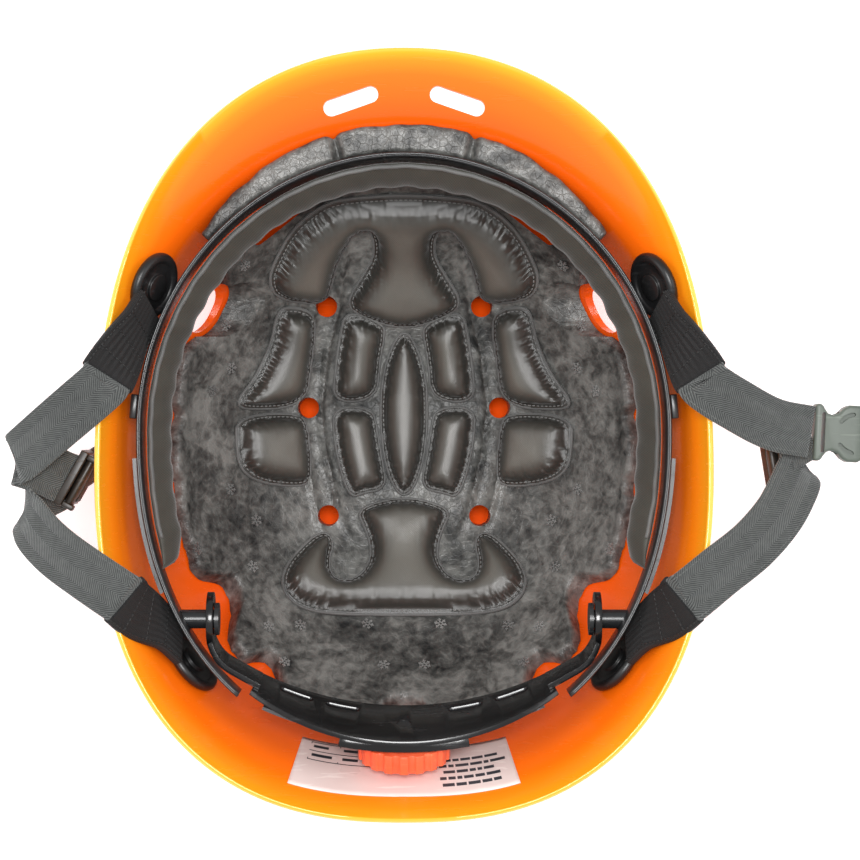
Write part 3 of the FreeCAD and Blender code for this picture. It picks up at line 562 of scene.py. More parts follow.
def foamMaterial(name, dark, light):              # moulded bead foam under a crinkled skin
    material, tree, target, place = newMaterial(name, Specular_IOR_Level=0.4)
    beads = put(tree, "ShaderNodeTexVoronoi", {"Vector": place, "Scale": 330.0}, feature="F1")
    seams = put(tree, "ShaderNodeTexVoronoi", {"Vector": place, "Scale": 330.0}, feature="DISTANCE_TO_EDGE")
    cloud = cloudy(tree, place, 48.0, 6.0, 0.62, 0.6)
    pieces = cloudy(tree, place, 260.0, 4.0, 0.65, 0.8)
    tone = maths(tree, "ADD", maths(tree, "MULTIPLY", cloud, 0.62), maths(tree, "MULTIPLY", pieces, 0.38))
    mottle = maths(tree, "ADD", tone, maths(tree, "MULTIPLY", beads.outputs["Distance"], 0.10))
    middle = tuple((a + b) * 0.32 for a, b in zip(dark, light))
    tree.links.new(ramp(tree, mottle, (0.40, dark), (0.51, middle), (0.66, light)), target["Base Color"])
    tree.links.new(spread(tree, mottle, 0.35, 0.65, 0.50, 0.30), target["Roughness"])
    gap = spread(tree, seams.outputs["Distance"], 0.0, 0.06, 0.0, 1.0)
    fine = maths(tree, "ADD", maths(tree, "MULTIPLY", pieces, 0.5), maths(tree, "MULTIPLY", gap, 0.12))
    height = maths(tree, "ADD", maths(tree, "MULTIPLY", cloud, 2.4), fine)
    bumpy(tree, target, height, 0.45, 0.0012)
    return material


def webbingMaterial(name, dark, light, column=3.1, pitch=1.15, sheen=0.25):
    material, tree, target, place = newMaterial(name, Sheen_Weight=sheen, Sheen_Roughness=0.5)
    coordinates = put(tree, "ShaderNodeUVMap", uv_map="UVMap").outputs["UV"]
    weave = useGroup(tree, herringbone, {"Place": coordinates, "Column": column, "Pitch": pitch})
    fuzz = cloudy(tree, place, 500.0, 4.0)
    dust = cloudy(tree, place, 30.0, 4.0)
    shade = maths(tree, "ADD", maths(tree, "MULTIPLY", weave["Mask"], 0.5),
                  maths(tree, "ADD", maths(tree, "MULTIPLY", fuzz, 0.3), maths(tree, "MULTIPLY", dust, 0.2)))
    tree.links.new(ramp(tree, shade, (0.2, dark), (0.8, light)), target["Base Color"])
    tree.links.new(spread(tree, shade, 0.2, 0.8, 0.85, 0.6), target["Roughness"])
    bumpy(tree, target, maths(tree, "ADD", weave["Height"], fuzz), 0.6, 0.0004)
    return material


def satinMaterial():
    # painted highlight over the middle of each cell and painted shade down in the seams, by scaling the
    # colour with the distance from the seam; the satin is also shinier in the middle and duller in the seams
    material = fabric("padSatin", (0.034, 0.033, 0.028), (0.066, 0.064, 0.055), 0.30, Sheen_Weight=0.2,
                      Sheen_Roughness=0.35, Specular_IOR_Level=0.8)
    tree = material.node_tree
    target = tree.nodes["Principled BSDF"].inputs
    colour, rough = (target[name].links[0].from_socket for name in ("Base Color", "Roughness"))
    fromSeam = put(tree, "ShaderNodeAttribute", attribute_name="fromSeam").outputs["Fac"]
    # painted light: the colour times 0.45 at the seam (painted shade), rising to 2.1 times in the middle of
    # the cell (painted highlight)
    light = spread(tree, fromSeam, 0.0, 1.0, 0.45, 2.1)
    seamShadeAndHighlightColour = put(tree, "ShaderNodeVectorMath", {0: colour, "Scale": light}, operation="SCALE").outputs["Vector"]
    tree.links.new(seamShadeAndHighlightColour, target["Base Color"])
    dulled = maths(tree, "MULTIPLY", rough, spread(tree, fromSeam, 0.0, 1.0, 1.25, 0.9))
    tree.links.new(dulled, target["Roughness"])
    return material


shellOrange = shellMaterial()
linerFoam = foamMaterial("linerFoam", (0.010, 0.011, 0.011), (0.165, 0.165, 0.155))
padSatin = satinMaterial()
bindingTape = fabric("bindingTape", (0.045, 0.046, 0.045), (0.15, 0.15, 0.145), 0.45, 0.0005, 0.5,
                     Sheen_Weight=0.2)
threadGrey = fabric("threadGrey", (0.10, 0.10, 0.10), (0.26, 0.26, 0.25), 0.5, 0.0003, 0.4)
threadBlack = fabric("threadBlack", (0.004, 0.004, 0.004), (0.02, 0.02, 0.02), 0.45, 0.0003, 0.4)
browCloth = fabric("browCloth", (0.030, 0.029, 0.023), (0.060, 0.058, 0.046), 0.55, 0.0009, 0.4,
                   Sheen_Weight=0.3, Sheen_Roughness=0.4)
bandGrey = plastic("bandGrey", (0.010, 0.011, 0.012), (0.035, 0.037, 0.039), 0.30)
glossBlack = plastic("glossBlack", (0.004, 0.004, 0.0045), (0.012, 0.012, 0.013), 0.22, Coat_Weight=0.2)
anchorBlack = plastic("anchorBlack", (0.004, 0.004, 0.004), (0.014, 0.014, 0.015), 0.38)
strapGrey = webbingMaterial("strapGrey", (0.016, 0.018, 0.018), (0.12, 0.127, 0.122), 4.8, 1.0)
sleeveBlack = webbingMaterial("sleeveBlack", (0.002, 0.002, 0.002), (0.009, 0.009, 0.010), 1.2, 0.7, 0.03)
buckleGrey = plastic("buckleGrey", (0.07, 0.085, 0.07), (0.14, 0.16, 0.135), 0.45, bump=0.3)
dividerBrown = plastic("dividerBrown", (0.012, 0.009, 0.007), (0.045, 0.034, 0.026), 0.42, bump=0.3)
wheelCoral = plastic("wheelCoral", (0.90, 0.10, 0.035), (1.0, 0.17, 0.07), 0.35, Subsurface_Weight=0.1)
labelFilm = plastic("labelFilm", (0.72, 0.55, 0.52), (0.86, 0.72, 0.68), 0.3, bump=0.05)
labelInk = plastic("labelInk", (0.015, 0.015, 0.02), (0.06, 0.06, 0.07), 0.5)
floorPaper = plastic("floorPaper", (0.88, 0.88, 0.88), (0.94, 0.94, 0.94), 0.8, bump=0.05,
                     Emission_Strength=0.4)
floorPaper.node_tree.nodes["Principled BSDF"].inputs["Emission Color"].default_value = (0.92, 0.97, 1.0, 1)
linerInk = fabric("linerInk", (0.05, 0.05, 0.05), (0.34, 0.34, 0.33), 0.4, 0.0005)
strapGreyThread = fabric("strapThread", (0.05, 0.052, 0.05), (0.16, 0.165, 0.16), 0.6, 0.0003)
print("materials", len(bpy.data.materials))


def socketNames(tree):
    return {item.name: item.identifier for item in tree.interface.items_tree if item.in_out == "INPUT"}


def geometryTree(name, inputs):
    tree = bpy.data.node_groups.new(name, "GeometryNodeTree")
    tree.interface.new_socket("Geometry", in_out="INPUT", socket_type="NodeSocketGeometry")
    for label, kind in inputs:
        tree.interface.new_socket(label, in_out="INPUT", socket_type="NodeSocket" + kind)
    tree.interface.new_socket("Geometry", in_out="OUTPUT", socket_type="NodeSocketGeometry")
    return tree, tree.nodes.new("NodeGroupInput").outputs, tree.nodes.new("NodeGroupOutput").inputs


def finishTree(tree, given, result, instances):
    real = put(tree, "GeometryNodeRealizeInstances", {"Geometry": instances}).outputs["Geometry"]
    coloured = put(tree, "GeometryNodeSetMaterial", {"Geometry": real, "Material": given["Material"]})
    tree.links.new(coloured.outputs["Geometry"], result["Geometry"])
    return tree


def stitchTree():                    # one stitch at each step along a line, lying the way the line runs
    sizes = [("Spacing", "Float"), ("Length", "Float"), ("Radius", "Float"), ("Material", "Material")]
    tree, given, result = geometryTree("stitchRow", sizes)
    line = put(tree, "GeometryNodeMeshToCurve", {"Mesh": given["Geometry"]}).outputs["Curve"]
    even = put(tree, "GeometryNodeResampleCurve", {"Curve": line, "Length": given["Spacing"]}, mode="LENGTH")
    bead = put(tree, "GeometryNodeMeshUVSphere", {"Segments": 8, "Rings": 6, "Radius": 1.0}).outputs["Mesh"]
    radius = given["Radius"]
    scale = put(tree, "ShaderNodeCombineXYZ", {"X": radius, "Y": radius, "Z": given["Length"]})
    shaped = put(tree, "GeometryNodeTransform", {"Geometry": bead, "Scale": scale.outputs["Vector"]})
    tangent = put(tree, "GeometryNodeInputTangent").outputs["Tangent"]
    lie = put(tree, "FunctionNodeAlignRotationToVector", {"Vector": tangent}, axis="Z").outputs["Rotation"]
    stitched = put(tree, "GeometryNodeInstanceOnPoints", {"Points": even.outputs["Curve"], "Instance": shaped.outputs["Geometry"],
                                                          "Rotation": lie})
    return finishTree(tree, given, result, stitched.outputs["Instances"])


def markTree():
    # a copy of a small mark at each point, square to the surface, each turned by its own amount
    sizes = [("Mark", "Object"), ("Turn", "Float"), ("Seed", "Int"), ("Material", "Material")]
    tree, given, result = geometryTree("surfaceMarks", sizes)
    mark = put(tree, "GeometryNodeObjectInfo", {"Object": given["Mark"]}).outputs["Geometry"]
    facing = put(tree, "GeometryNodeInputNamedAttribute", {"Name": "facing"}, data_type="FLOAT_VECTOR")
    lie = put(tree, "FunctionNodeAlignRotationToVector", {"Vector": facing.outputs["Attribute"]}, axis="Z")
    limits = {"Max": given["Turn"], "Seed": given["Seed"]}
    chance = put(tree, "FunctionNodeRandomValue", limits, data_type="FLOAT")
    turnBy = [socket for socket in chance.outputs if socket.enabled][0]
    amount = put(tree, "FunctionNodeAxisAngleToRotation", {"Axis": (0, 0, 1), "Angle": turnBy})
    turns = {"Rotation": lie.outputs["Rotation"], "Rotate By": amount.outputs["Rotation"]}
    spun = put(tree, "FunctionNodeRotateRotation", turns, rotation_space="LOCAL").outputs["Rotation"]
    placed = put(tree, "GeometryNodeInstanceOnPoints", {"Points": given["Geometry"], "Instance": mark,
                                                        "Rotation": spun})
    return finishTree(tree, given, result, placed.outputs["Instances"])


stitchRow, surfaceMarks = stitchTree(), markTree()


def runTree(obj, tree, values):
    modifier = obj.modifiers.new(tree.name, "NODES")
    modifier.node_group = tree
    names = socketNames(tree)
    for key, value in values.items():
        modifier[names[key]] = value
    return applied(obj)


def stitches(name, lines, material, spacing=2.4, length=1.0, radius=0.28, closed=False):
    # rows of stitches along lines of points, as one object
    points, edges, start = [], [], 0
    for line in lines:
        count = len(line)
        points += [tuple(p) for p in line]
        edges += [(start + k, start + (k + 1) % count) for k in range(count if closed else count - 1)]
        start += count
    rows = meshObject(name, points, [], edges=edges)
    return runTree(rows, stitchRow, {"Spacing": spacing * mm, "Length": length * mm, "Radius": radius * mm,
                                     "Material": material})


def marks(name, mark, points, facing, material, turn=6.2832, seed=4):
    spots = meshObject(name, points, [])
    attribute = spots.data.attributes.new("facing", "FLOAT_VECTOR", "POINT")
    attribute.data.foreach_set("vector", np.asarray(facing, np.float32).ravel())
    return runTree(spots, surfaceMarks, {"Mark": mark, "Turn": turn, "Seed": seed, "Material": material})


shellLook = {"around": 300, "levels": 54, "wall": 2.3, "ridge": 0.6, "ridgeBelow": 11.0, "ridgeWidth": 1.6,
             "lip": 0.9, "slotLength": 21, "slotWidth": 5.8, "slotPlace": (19.6, 121, 110), "slotTurn": 18.7}


def vertices(obj):
    places = np.empty(len(obj.data.vertices) * 3)
    obj.data.vertices.foreach_get("co", places)
    return places.reshape(-1, 3) / mm


def rimNearness(obj):              # 1 at the rim, falling to 0 forty millimetres in, as seen from above
    places = vertices(obj)
    angle = np.degrees(np.arctan2(places[:, 1], places[:, 0]))
    inward = shellRadius(angle, rimHeight(angle)) - np.hypot(places[:, 0], places[:, 1])
    return np.clip(1 - inward / 40, 0, 1)


def ventCutter(side, margin, depth, corner):
    x, y, z = ventLook["place"]
    outline = boxOutline(ventLook["length"] + margin, ventLook["height"] + margin)
    return placed(prism("vent", outline, depth, corner), (side * x, y, z), (90, "Z"), (90, "X"))


def makeShell(look):
    angles = np.linspace(0, 360, look["around"], endpoint=False)
    rim = rimHeight(angles)
    fractions = 1 - np.cos(np.linspace(0, math.pi / 2, look["levels"]))
    outer = [inside(angles, f * rim, 0) for f in fractions]
    lip = []
    for turn in np.radians(np.linspace(15, 165, 6)):
        depth = look["wall"] / 2 * (1 - math.cos(turn))
        lip.append(inside(angles, rim, depth) + np.array([0, 0, look["lip"] * math.sin(turn)]))
    inner = []
    for f in fractions[::-1]:
        below = (1 - f) * rim
        ridge = look["ridge"] * np.exp(-((below - look["ridgeBelow"]) / look["ridgeWidth"]) ** 2)
        inner.append(inside(angles, f * rim, look["wall"] + ridge))
    shell = turned("shellBody", outer + lip + inner, shellOrange)
    x, y, z = look["slotPlace"]
    cutters = []
    for side in (-1, 1):
        slot = prism("slot", boxOutline(look["slotLength"], look["slotWidth"]), 60, 2.85)
        placed(slot, (side * x, y, z), (-side * look["slotTurn"], "Z"))
        cutters += [slot, ventCutter(side, 0, 50, 7.9)]
    cutBy(shell, cutters)
    remember(shell, "rimward", rimNearness(shell))
    smoothShade(shell, 50)
    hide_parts("shell")
    fastened("root", "shell_plastic", shell)


makeShell(shellLook)
print("shell done")


linerLook = {"around": 360, "levels": 90, "ribHeight": 1.7, "ribGap": 4.4, "ribWidth": 1.1,
             "holes": [(31.0, 49.5), (38.5, 9.0), (30.5, -34.5)], "holeWidth": 8.4,
             "frontGap": (45, 83, 70), "frontGapTurn": 38,
             "marks": [(-70, 41), (-68.5, 24.5), (-75.5, 15.5), (-58.5, 2), (-69, -23.5), (-59, -36),
                       (-60, -54), (-80, -46), (-53, -77), (-41, -77), (-14.5, -77), (-46.5, -90), (-8, -92),
                       (-62, 64)]}
channel = [(-27, 92), (-28, 70), (-31, 49.5), (-35.5, 33), (-38.5, 9), (-36, -12), (-30.5, -34.5),
           (-25, -47)]


def nearLine(x, y, line):
    # signed distance across a line of points, and the nearest point's place along it
    points, line = np.stack([x, y], -1)[..., None, :], np.array(line, float)
    start, step = line[:-1], np.diff(line, axis=0)
    t = np.clip(((points - start) * step).sum(-1) / (step ** 2).sum(-1), 0, 1)
    offset = points - start - t[..., None] * step
    gap = np.linalg.norm(offset, axis=-1)
    best = gap.argmin(-1)[..., None]
    sign = np.sign(step[..., 0] * offset[..., 1] - step[..., 1] * offset[..., 0])
    along = np.take_along_axis(t, best, -1)[..., 0] + best[..., 0]
    return np.take_along_axis(gap * sign, best, -1)[..., 0], along


def linerRelief(points, look):
    # ribs beside the two channels, grooves at the rear, and hand-pressed unevenness
    x, y = points[..., 0], points[..., 1]
    across, place = nearLine(-np.abs(x), y, channel)
    shown = np.clip(place, 0, 1) * np.clip(len(channel) - 1 - place, 0, 1)
    ribs = sum(np.exp(-((across - s * look["ribGap"]) / look["ribWidth"]) ** 2) for s in (-1, 1))
    dip = np.exp(-(across / 2.6) ** 2)
    relief = look["ribHeight"] * np.minimum(1, ribs) * shown - 0.5 * dip * shown
    for grooveX in (33.0, 11.0):
        groove = np.exp(-((np.abs(x) - grooveX) / 1.2) ** 2)
        relief -= 1.3 * groove * np.clip((-y - 76) / 6, 0, 1)
    uneven = [noise.fractal(Vector(p) * 0.055, 0.8, 2.1, 5) for p in points.reshape(-1, 3)]
    crumple = [noise.fractal(Vector(p) * 0.19, 0.7, 2.1, 3) for p in points.reshape(-1, 3)]
    return relief + 0.75 * np.array(uneven).reshape(x.shape) + 0.3 * np.array(crumple).reshape(x.shape)


def linerEdge(angles):
    # where the liner's edge runs: scalloped at the sides, notched for the rear strap anchors
    edge = ends(angles, *linerEnds)
    fold = np.where(np.cos(np.radians(angles)) < 0, 180 - angles, (angles + 180) % 360 - 180)
    edge = edge + 8 * np.exp(-(fold / 24) ** 4)
    for centre, width, depth in ((-43, 6.0, 17), (-60, 3.6, 11), (-90, 5.0, 8), (-14, 2.0, 2.5), (3, 2.2, 3),
                                 (27, 5.0, 9), (38, 3.0, 6), (-75, 3.0, 2)):
        edge = edge - depth * np.exp(-np.abs((fold - centre) / width) ** 3)
    ragged = np.array([noise.fractal(Vector((float(a) * 0.35, 1.0, 0)), 0.7, 2.1, 4) for a in fold])
    return edge + 1.6 * ragged


def makeLiner(look):
    angles = np.linspace(0, 360, look["around"], endpoint=False)
    edge = linerEdge(angles)
    fractions = 1 - np.cos(np.linspace(0, math.pi / 2, look["levels"]))
    outer = [inside(angles, f * edge, skin) for f in fractions]
    inner = []
    for f in fractions[::-1]:
        z = f * edge
        depth = linerDepth(angles, z)
        flat = inside(angles, z, depth)
        soft = 1.6 * max(0.0, (f - 0.975) / 0.025) ** 2
        inner.append(inside(angles, z, depth + linerRelief(flat, look) * min(1, (1 - f) * 30 + 0.2) - soft))
    liner = turned("foamLiner", outer + inner, linerFoam)
    cutters = []
    x, y, z = look["frontGap"]
    for side in (-1, 1):
        for holeX, holeY in look["holes"]:
            hole = prism("hole", boxOutline(look["holeWidth"], look["holeWidth"]), 120, 4.19)
            cutters.append(placed(hole, (side * holeX, holeY, 40)))
        gap = prism("frontGap", boxOutline(34, 4.4), 90, 2.1)
        placed(gap, (side * x, y, z), (-side * look["frontGapTurn"], "Z"))
        cutters += [ventCutter(side, 3, 60, 8.5), gap]
    cutBy(liner, cutters)
    smoothShade(liner, 55)
    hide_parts("liner")
    spots = np.array([(side * x, y) for x, y in look["marks"] for side in (-1, 1)], float)
    places, facing = onLiner(spots[:, 0], spots[:, 1], np.full(len(spots), 0.55))
    star = snowflake()
    stars = marks("linerStars", star, places, facing, linerInk)
    bpy.data.objects.remove(star)
    fastened("root", "foam", liner, stars)


def snowflake():              # six short arms with side twigs, a pressed mark of about four millimetres
    points, faces = [], []
    for arm in range(6):
        along, over = math.cos(math.radians(60 * arm)), math.sin(math.radians(60 * arm))
        for start, end, lean in (((0.5, 0.0), (2.5, 0.0), 0.24), ((1.4, 0.0), (2.0, 0.65), 0.17),
                                 ((1.4, 0.0), (2.0, -0.65), 0.17)):
            a, b = np.array(start), np.array(end)
            side = np.array([-(b - a)[1], (b - a)[0]]) / np.linalg.norm(b - a) * lean
            base = len(points)
            for z in (-0.35, 0.22):
                for x, y in (a - side, b - side * 0.7, b + side * 0.7, a + side):
                    points.append((x * along - y * over, x * over + y * along, z))
            faces += [(base + 3, base + 2, base + 1, base), (base + 4, base + 5, base + 6, base + 7)]
            faces += [(base + k, base + (k + 1) % 4, base + 4 + (k + 1) % 4, base + 4 + k) for k in range(4)]
    return meshObject("starMark", points, faces, smooth=False)


makeLiner(linerLook)
print("liner done")


frontLook = {"first": 44, "last": 136, "count": 140, "top": 108.0, "bottom": 93.0, "corner": 1.8,
             "grooveX": 26.5}


def makeFrontLiner(look):
    rings = []
    for angle in np.linspace(look["first"], look["last"], look["count"]):
        turn = math.radians(angle)
        away = np.array([math.cos(turn), math.sin(turn)])
        near = float(ovalRadius(angle, *bandOval)) + 2.3
        far = float(ovalRadius(angle, 96.1, 114, 114, 2.1, 2.1))
        far = min(far, float(shellRadius(angle, look["top"])) - 4.1) - 0.3
        scallop = noise.noise(Vector((angle * 0.25, 0, 0)))
        far += 0.9 * scallop
        groove = math.exp(-((abs(far * away[0]) - look["grooveX"]) / 1.3) ** 2)
        top = look["top"] - 3.5 * groove - 0.5 * abs(scallop)
        section = crossSection(far - near, top - look["bottom"], look["corner"], 5)
        middle, level = (far + near) / 2, (top + look["bottom"]) / 2
        ring = []
        for across, up in section:
            radius = min(middle + across, float(shellRadius(angle, level + up)) - 3.4)
            spot = Vector((radius * away[0], radius * away[1], level + up))
            bump = 0.35 * noise.fractal(spot * 0.22, 0.8, 2.1, 4) if up > 0 else 0
            ring.append((radius * away[0], radius * away[1], level + up + bump))
        rings.append(np.array(ring))
    block = turned("frontFoam", rings, linerFoam)
    fine = block.modifiers.new("fine", "SUBSURF")
    fine.levels = fine.render_levels = 1
    applied(block)
    block.data.shade_smooth()
    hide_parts("front_liner")
    fastened("root", "foam", block)


makeFrontLiner(frontLook)


def mirroredOutline(half):
    other = [(-x, y) for x, y in half[::-1] if abs(x) > 0.01]
    return half + other


padCells = {
    "front": (mirroredOutline([
        (0, 91.5), (-20.5, 90), (-30.5, 88), (-43, 79), (-51, 65.5), (-53, 59), (-50.5, 53), (-37.5, 51),
        (-31.5, 53), (-29.5, 58.5), (-27.5, 66.5), (-22.5, 75.5), (-19, 79.5), (-15, 80.5), (-12, 78),
        (-11, 70), (-16.5, 61), (-22, 53), (-21, 48.5), (-9, 43.5), (0, 42)]), 7.5),
    "outerUpper": ([
        (-48.5, 49), (-38, 47.5), (-36, 42), (-38, 28), (-40.5, 10), (-65, 8.5), (-66, 12), (-59.5, 20),
        (-52.5, 35), (-51, 43.5)], 7.0),
    "outerLower": ([
        (-66.5, 5), (-42.5, 6.5), (-39.5, 1), (-38, -18.5), (-40.5, -22.5), (-56.5, -21), (-65, -16),
        (-66.5, -6)], 7.0),
    "innerUpper": ([
        (-23, 48), (-8.5, 42.5), (-8.5, 38), (-10.5, 27.5), (-11.5, 13), (-28.5, 11.5), (-27.5, 24),
        (-25.5, 38)], 6.0),
    "innerLower": ([
        (-28.5, 9), (-13, 8.5), (-11.5, 0), (-9.5, -12), (-7.5, -23.5), (-17, -25), (-21.5, -27),
        (-25.5, -16), (-28, -3)], 6.0),
    "centre": (mirroredOutline([
        (0, 41), (-5.5, 32), (-8.5, 20), (-9, 8), (-8.5, -4), (-6.5, -16), (-3, -24), (0, -26.5)]), 6.5),
    "rear": (mirroredOutline([
        (0, -28), (-9.5, -29.5), (-18.5, -33), (-15.5, -39), (-13, -46), (-13, -53), (-17.5, -59.5),
        (-24.5, -61.5), (-29.5, -59), (-31, -53), (-29, -46), (-31, -42), (-35, -42.5), (-40.5, -47),
        (-46.5, -54), (-48.5, -60.5), (-46, -66.5), (-39, -71), (-27, -73), (0, -73.5)]), 7.5),
}
padLook = {"step": 0.8, "grow": 0.8, "flange": 2.1, "flangeHeight": 1.6, "rise": 5.0}


def insideOutline(points, outline):
    x, y = points[:, 0:1], points[:, 1:2]
    x0, y0 = outline.T
    x1, y1 = np.roll(outline, -1, axis=0).T
    tall = np.where(y1 == y0, 1e-9, y1 - y0)
    crosses = ((y0 > y) != (y1 > y)) & (x < (x1 - x0) * (y - y0) / tall + x0)
    return crosses.sum(1) % 2 == 1


def toOutline(points, outline):
    # distance to a closed outline, and how far round it the nearest place is
    ahead = np.roll(outline, -1, axis=0)
    step = ahead - outline
    reach = np.concatenate([[0], np.cumsum(np.linalg.norm(step, axis=1))])[:-1]
    t = np.clip(((points[:, None] - outline) * step).sum(-1) / (step ** 2).sum(-1), 0, 1)
    gap = np.linalg.norm(points[:, None] - outline - t[..., None] * step, axis=-1)
    best = gap.argmin(1)
    rows = np.arange(len(points))
    return gap[rows, best], reach[best] + t[rows, best] * np.linalg.norm(step, axis=1)[best]


def inset(outline, distance):              # the outline drawn in towards its middle by a small distance
    along = np.roll(outline, -1, axis=0) - np.roll(outline, 1, axis=0)
    along /= np.linalg.norm(along, axis=1, keepdims=True)
    leftward = np.stack([-along[:, 1], along[:, 0]], 1)
    x, y = outline.T
    turnsLeft = (x * np.roll(y, -1) - np.roll(x, -1) * y).sum() > 0
    return outline + leftward * (distance if turnsLeft else -distance)


def padHeight(gap, place, puff, look):
    # height over the liner: a flat sewn border, a groove at the seam, then the filled part
    edge = np.clip(gap / 0.9, 0, 1)
    border = look["flangeHeight"] * np.sqrt(1 - (1 - edge) ** 2)
    deepest = gap.max() - look["flange"]
    rise = min(look["rise"], deepest)
    full = puff * min(1.0, 0.55 + 0.45 * rise / look["rise"])
    t = np.clip((gap - look["flange"]) / rise, 0, 1)
    crown = 0.9 * np.clip((gap - look["flange"] - rise) / max(1.0, deepest - rise), 0, 1) ** 0.8
    filled = full * np.sqrt(np.maximum(0, 1 - (1 - t) ** 2.6)) + crown
    pucker = 0.07 * np.sin(place * 2 * math.pi / 5.2 + 1.3 * np.sin(place / 11))
    pucker *= np.exp(-((t - 0.12) / 0.14) ** 2)
    seam = -0.8 * np.exp(-((gap - look["flange"]) / 0.5) ** 2)
    return border + filled * (1 + pucker) + seam


def relaxed(height, triangles, free, times):
    # the heights evened out with their neighbours', except where they are held
    pairs = np.vstack([triangles[:, [0, 1]], triangles[:, [1, 2]], triangles[:, [2, 0]]])
    pairs = np.vstack([pairs, pairs[:, ::-1]])
    neighbours = np.bincount(pairs[:, 0], minlength=len(height))
    for _ in range(times):
        around = np.bincount(pairs[:, 0], weights=height[pairs[:, 1]], minlength=len(height))
        evened = 0.4 * height + 0.6 * around / np.maximum(1, neighbours)
        height = np.where(free & (neighbours > 0), evened, height)
    return height


def makeCell(name, outline, puff, look):
    outline = resampled(inset(rounded(np.array(outline, float), 3), -look["grow"]), look["step"])
    low, high = outline.min(0), outline.max(0)
    xs, ys = np.arange(low[0], high[0], look["step"]), np.arange(low[1], high[1], look["step"])
    grid = np.stack(np.meshgrid(xs, ys, indexing="ij"), -1).reshape(-1, 2)
    grid[:, 0] += (np.arange(len(grid)) % 2) * 0.01
    grid = grid[insideOutline(grid, outline)]
    gap, place = toOutline(grid, outline)
    grid, gap, place = grid[gap > 0.45], gap[gap > 0.45], place[gap > 0.45]
    count = len(outline)
    flat = [Vector(p) for p in np.vstack([outline, grid])]
    loop = [(k, (k + 1) % count) for k in range(count)]
    made, _, triangles, *_ = geometry.delaunay_2d_cdt(flat, loop, [], 0, 1e-5)
    made = np.array([tuple(p) for p in made])
    middles = made[np.array(triangles)].mean(1)
    triangles = np.array(triangles)[insideOutline(middles, outline)]
    gap, place = toOutline(made, outline)
    gap[:count] = 0
    height = padHeight(gap, place, puff, look)
    height = relaxed(height, triangles, gap > look["flange"] + 1.2, 14)
    above, _ = onLiner(made[:, 0], made[:, 1], height)
    below, _ = onLiner(made[:, 0], made[:, 1], np.full(len(made), -0.35))
    size = len(made)
    faces = [tuple(t) for t in triangles] + [tuple(t[::-1] + size) for t in triangles]
    faces += [(k, (k + 1) % count, size + (k + 1) % count, size + k) for k in range(count)]
    cell = outward(meshObject("cell_" + name, np.vstack([above, below]), faces, padSatin))
    # distance from the seam, which drives the satin's painted highlight in the middle of each cell and
    # painted shade at the seams
    fromSeam = np.clip((gap - look["flange"]) / 8, 0, 1)
    remember(cell, "fromSeam", np.concatenate([fromSeam, 0 * fromSeam]))
    return cell, outline


def liftedLoop(outline, distance, lift):
    line = inset(outline, distance)
    smooth = resampled(line, 1.0)
    return onLiner(smooth[:, 0], smooth[:, 1], np.full(len(smooth), lift))[0]


def makeCrownPads(cells, look):
    pads, tapes, rows = [], [], []
    for name, (outline, puff) in cells.items():
        sides = [outline]
        if "Upper" in name or "Lower" in name:
            sides.append([(-x, y) for x, y in outline])
        for number, side in enumerate(sides):
            pad, edge = makeCell("%s_%d" % (name, number), side, puff, look)
            pads.append(pad)
            tapes.append(tube("tape", liftedLoop(edge, 0.35, 0.75), 0.62, bindingTape, closed=True, sides=8))
            rows.append(liftedLoop(edge, 1.35, look["flangeHeight"] + 0.12))
    cushion = joinAll("crownPads", pads)
    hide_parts("crown_pad")
    binding = joinAll("padBinding", tapes)
    sewing = stitches("padStitches", rows, threadGrey, spacing=1.9, length=0.7, radius=0.26, closed=True)
    fastened("root", "pad_fabric", cushion, binding, sewing)


makeCrownPads(padCells, padLook)
print("crown pads done")


bandLook = {"first": -58, "last": 238, "count": 300, "padInside": -0.4, "padThick": 6.2, "padHeight": 21.0,
            "lean": 4.5}


def ringStrip(name, angles, sectionAt, *materials):
    # a closed strip round the head; sectionAt gives outward and height pairs at each angle
    rings = []
    for angle in angles:
        offsets, heights = sectionAt(angle)
        rings.append(bandPoint(angle, np.asarray(heights), np.asarray(offsets)))
    return turned(name, rings, *materials)


def makeHeadband(look):
    def section(angle):
        past = max(0.0, -math.sin(math.radians(angle)))
        height = 18 - 4 * past ** 1.5
        shape = crossSection(1.5, height, 0.6, 3)
        return shape[:, 0] + 0.75, shape[:, 1] + bandTop(angle) - height / 2

    angles = np.linspace(look["first"], look["last"], look["count"])
    band = ringStrip("headBand", angles, section, bandGrey)
    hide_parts("headband")
    lip = tube("bandLip", [bandPoint(a, bandTop(a) - 0.1, 1.15) for a in angles], 0.55, bandGrey)
    studs = []
    for angle in range(-50, 232, 8):
        stud = prism("stud", boxOutline(5.0, 2.2), 0.5, 1.05)
        placed(stud, bandPoint(angle, bandTop(angle) - 8, 1.55), (angle + 90, "Z"), (90, "X"))
        stud.data.materials.append(bandGrey)
        studs.append(stud)
    bpy.context.view_layer.update()
    studded = joinAll("bandStuds", studs)
    bakePlace(studded)
    fastened("root", "band_plastic", band, lip, studded)


